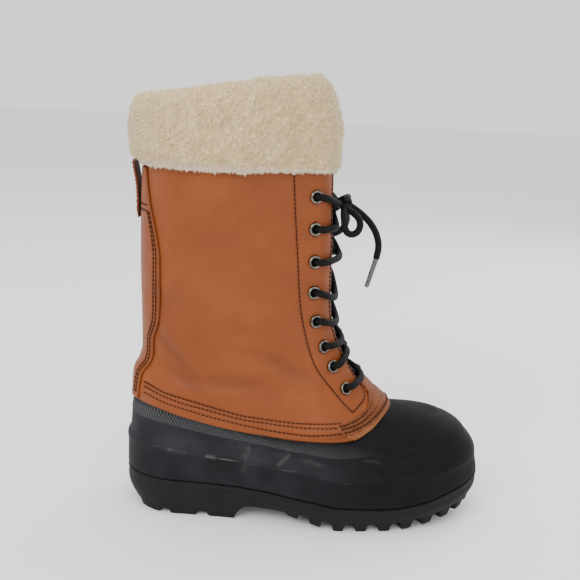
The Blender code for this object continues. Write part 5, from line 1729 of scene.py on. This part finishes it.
def grow_pile():
    grow = np.random.default_rng(5)
    corner = skin_points
    right, above = np.roll(corner, -1, axis=1), np.roll(corner, -1, axis=0)
    area = np.linalg.norm(np.cross(right - corner, above - corner), axis=-1)
    area = area * (open_wool > 0.15)
    chance = (area / area.sum()).ravel()
    chosen = grow.choice(len(chance), TUFTS, p=chance)
    row, column = np.unravel_index(chosen, area.shape)
    s, t = grow.uniform(0, 1, (2, TUFTS, 1))
    next_row, next_column = (row + 1) % CUFF_ROWS, (column + 1) % CUFF_COLUMNS

    def read(values):
        low = values[row, column] * (1 - s) + values[row, next_column] * s
        high = values[next_row, column] * (1 - s) + values[next_row, next_column] * s
        return low * (1 - t) + high * t

    root, normal = read(skin_points), unit(read(cuff_normal))
    crest = lumps(root, CLUMP, CLUMP_SEED)
    slope = np.stack([lumps(root + step, CLUMP, CLUMP_SEED) - crest
                      for step in np.eye(3) * FIELD_STEP], -1) / FIELD_STEP
    lean = slope * CLUMP_PULL + grow.normal(0, STRAY, (TUFTS, 3)) + np.array([0.0, 0.0, -DROOP])
    lean -= normal * (lean * normal).sum(1, keepdims=True)
    reach = np.linalg.norm(lean, axis=1, keepdims=True)
    lean *= np.minimum(1.0, 0.9 / np.maximum(reach, 1e-6))
    first = unit(np.cross(normal, grow.normal(0, 1, (TUFTS, 3))), 1e-9)
    second = np.cross(normal, first)
    size = grow.uniform(0.78, 1.12, (TUFTS, 1)) * mix(0.45, 1.0, read(open_wool[..., None]))
    crease = read(roll_crease[..., None])
    size *= np.clip(1.0 + 0.20 * crest[:, None], 0.5, 1.5) * (1 - 0.55 * crease)
    corners = []
    for k in range(SPOKES):
        angle = 2 * math.pi * k / SPOKES
        spoke = first * math.cos(angle) + second * math.sin(angle)
        corners.append(root + spoke * TUFT_WIDTH / 2)
    corners.append(root + (normal + lean) * TUFT_LENGTH * size)
    # Painted shade: each tuft is darker at its root, in the hollows between clumps and in the
    # roll's crease. The random factor is each tuft's own tone.
    shade = np.clip(0.70 + 0.22 * crest[:, None], 0.2, 1.0) * (1 - 0.6 * crease)
    shade = shade * grow.uniform(0.75, 1.0, (TUFTS, 1))
    shade = shade * np.array([[ROOT_SHADE] * SPOKES + [1.0]])
    return np.stack(corners, 1), shade, normal, read(roll[..., None])[:, 0]


pile_points, pile_shade, pile_normals, pile_roll = grow_pile()
corner_count = SPOKES + 1
for number in range(PILE_PIECES):
    chosen = np.arange(number, TUFTS, PILE_PIECES)
    start = (np.arange(len(chosen)) * corner_count)[:, None]
    faces = [np.array([[k, (k + 1) % SPOKES, SPOKES]]) + start for k in range(SPOKES)]
    tufts = make_mesh(f"shearling_pile_{number + 1}", pile_points[chosen].reshape(-1, 3), faces,
                      None, {"tip": pile_shade[chosen].ravel(),
                             "roll": np.repeat(pile_roll[chosen], corner_count)}, wool_finish)
    own = np.zeros((len(chosen) * corner_count, 3), np.float32)
    tufts.data.vertices.foreach_get("normal", own.reshape(-1))
    turned = unit(mix(own, np.repeat(pile_normals[chosen], corner_count, axis=0), SOFTNESS), 1e-6)
    tufts.data.normals_split_custom_set_from_vertices(turned)
    print(f"pile {number + 1}:", len(tufts.data.polygons), "faces")
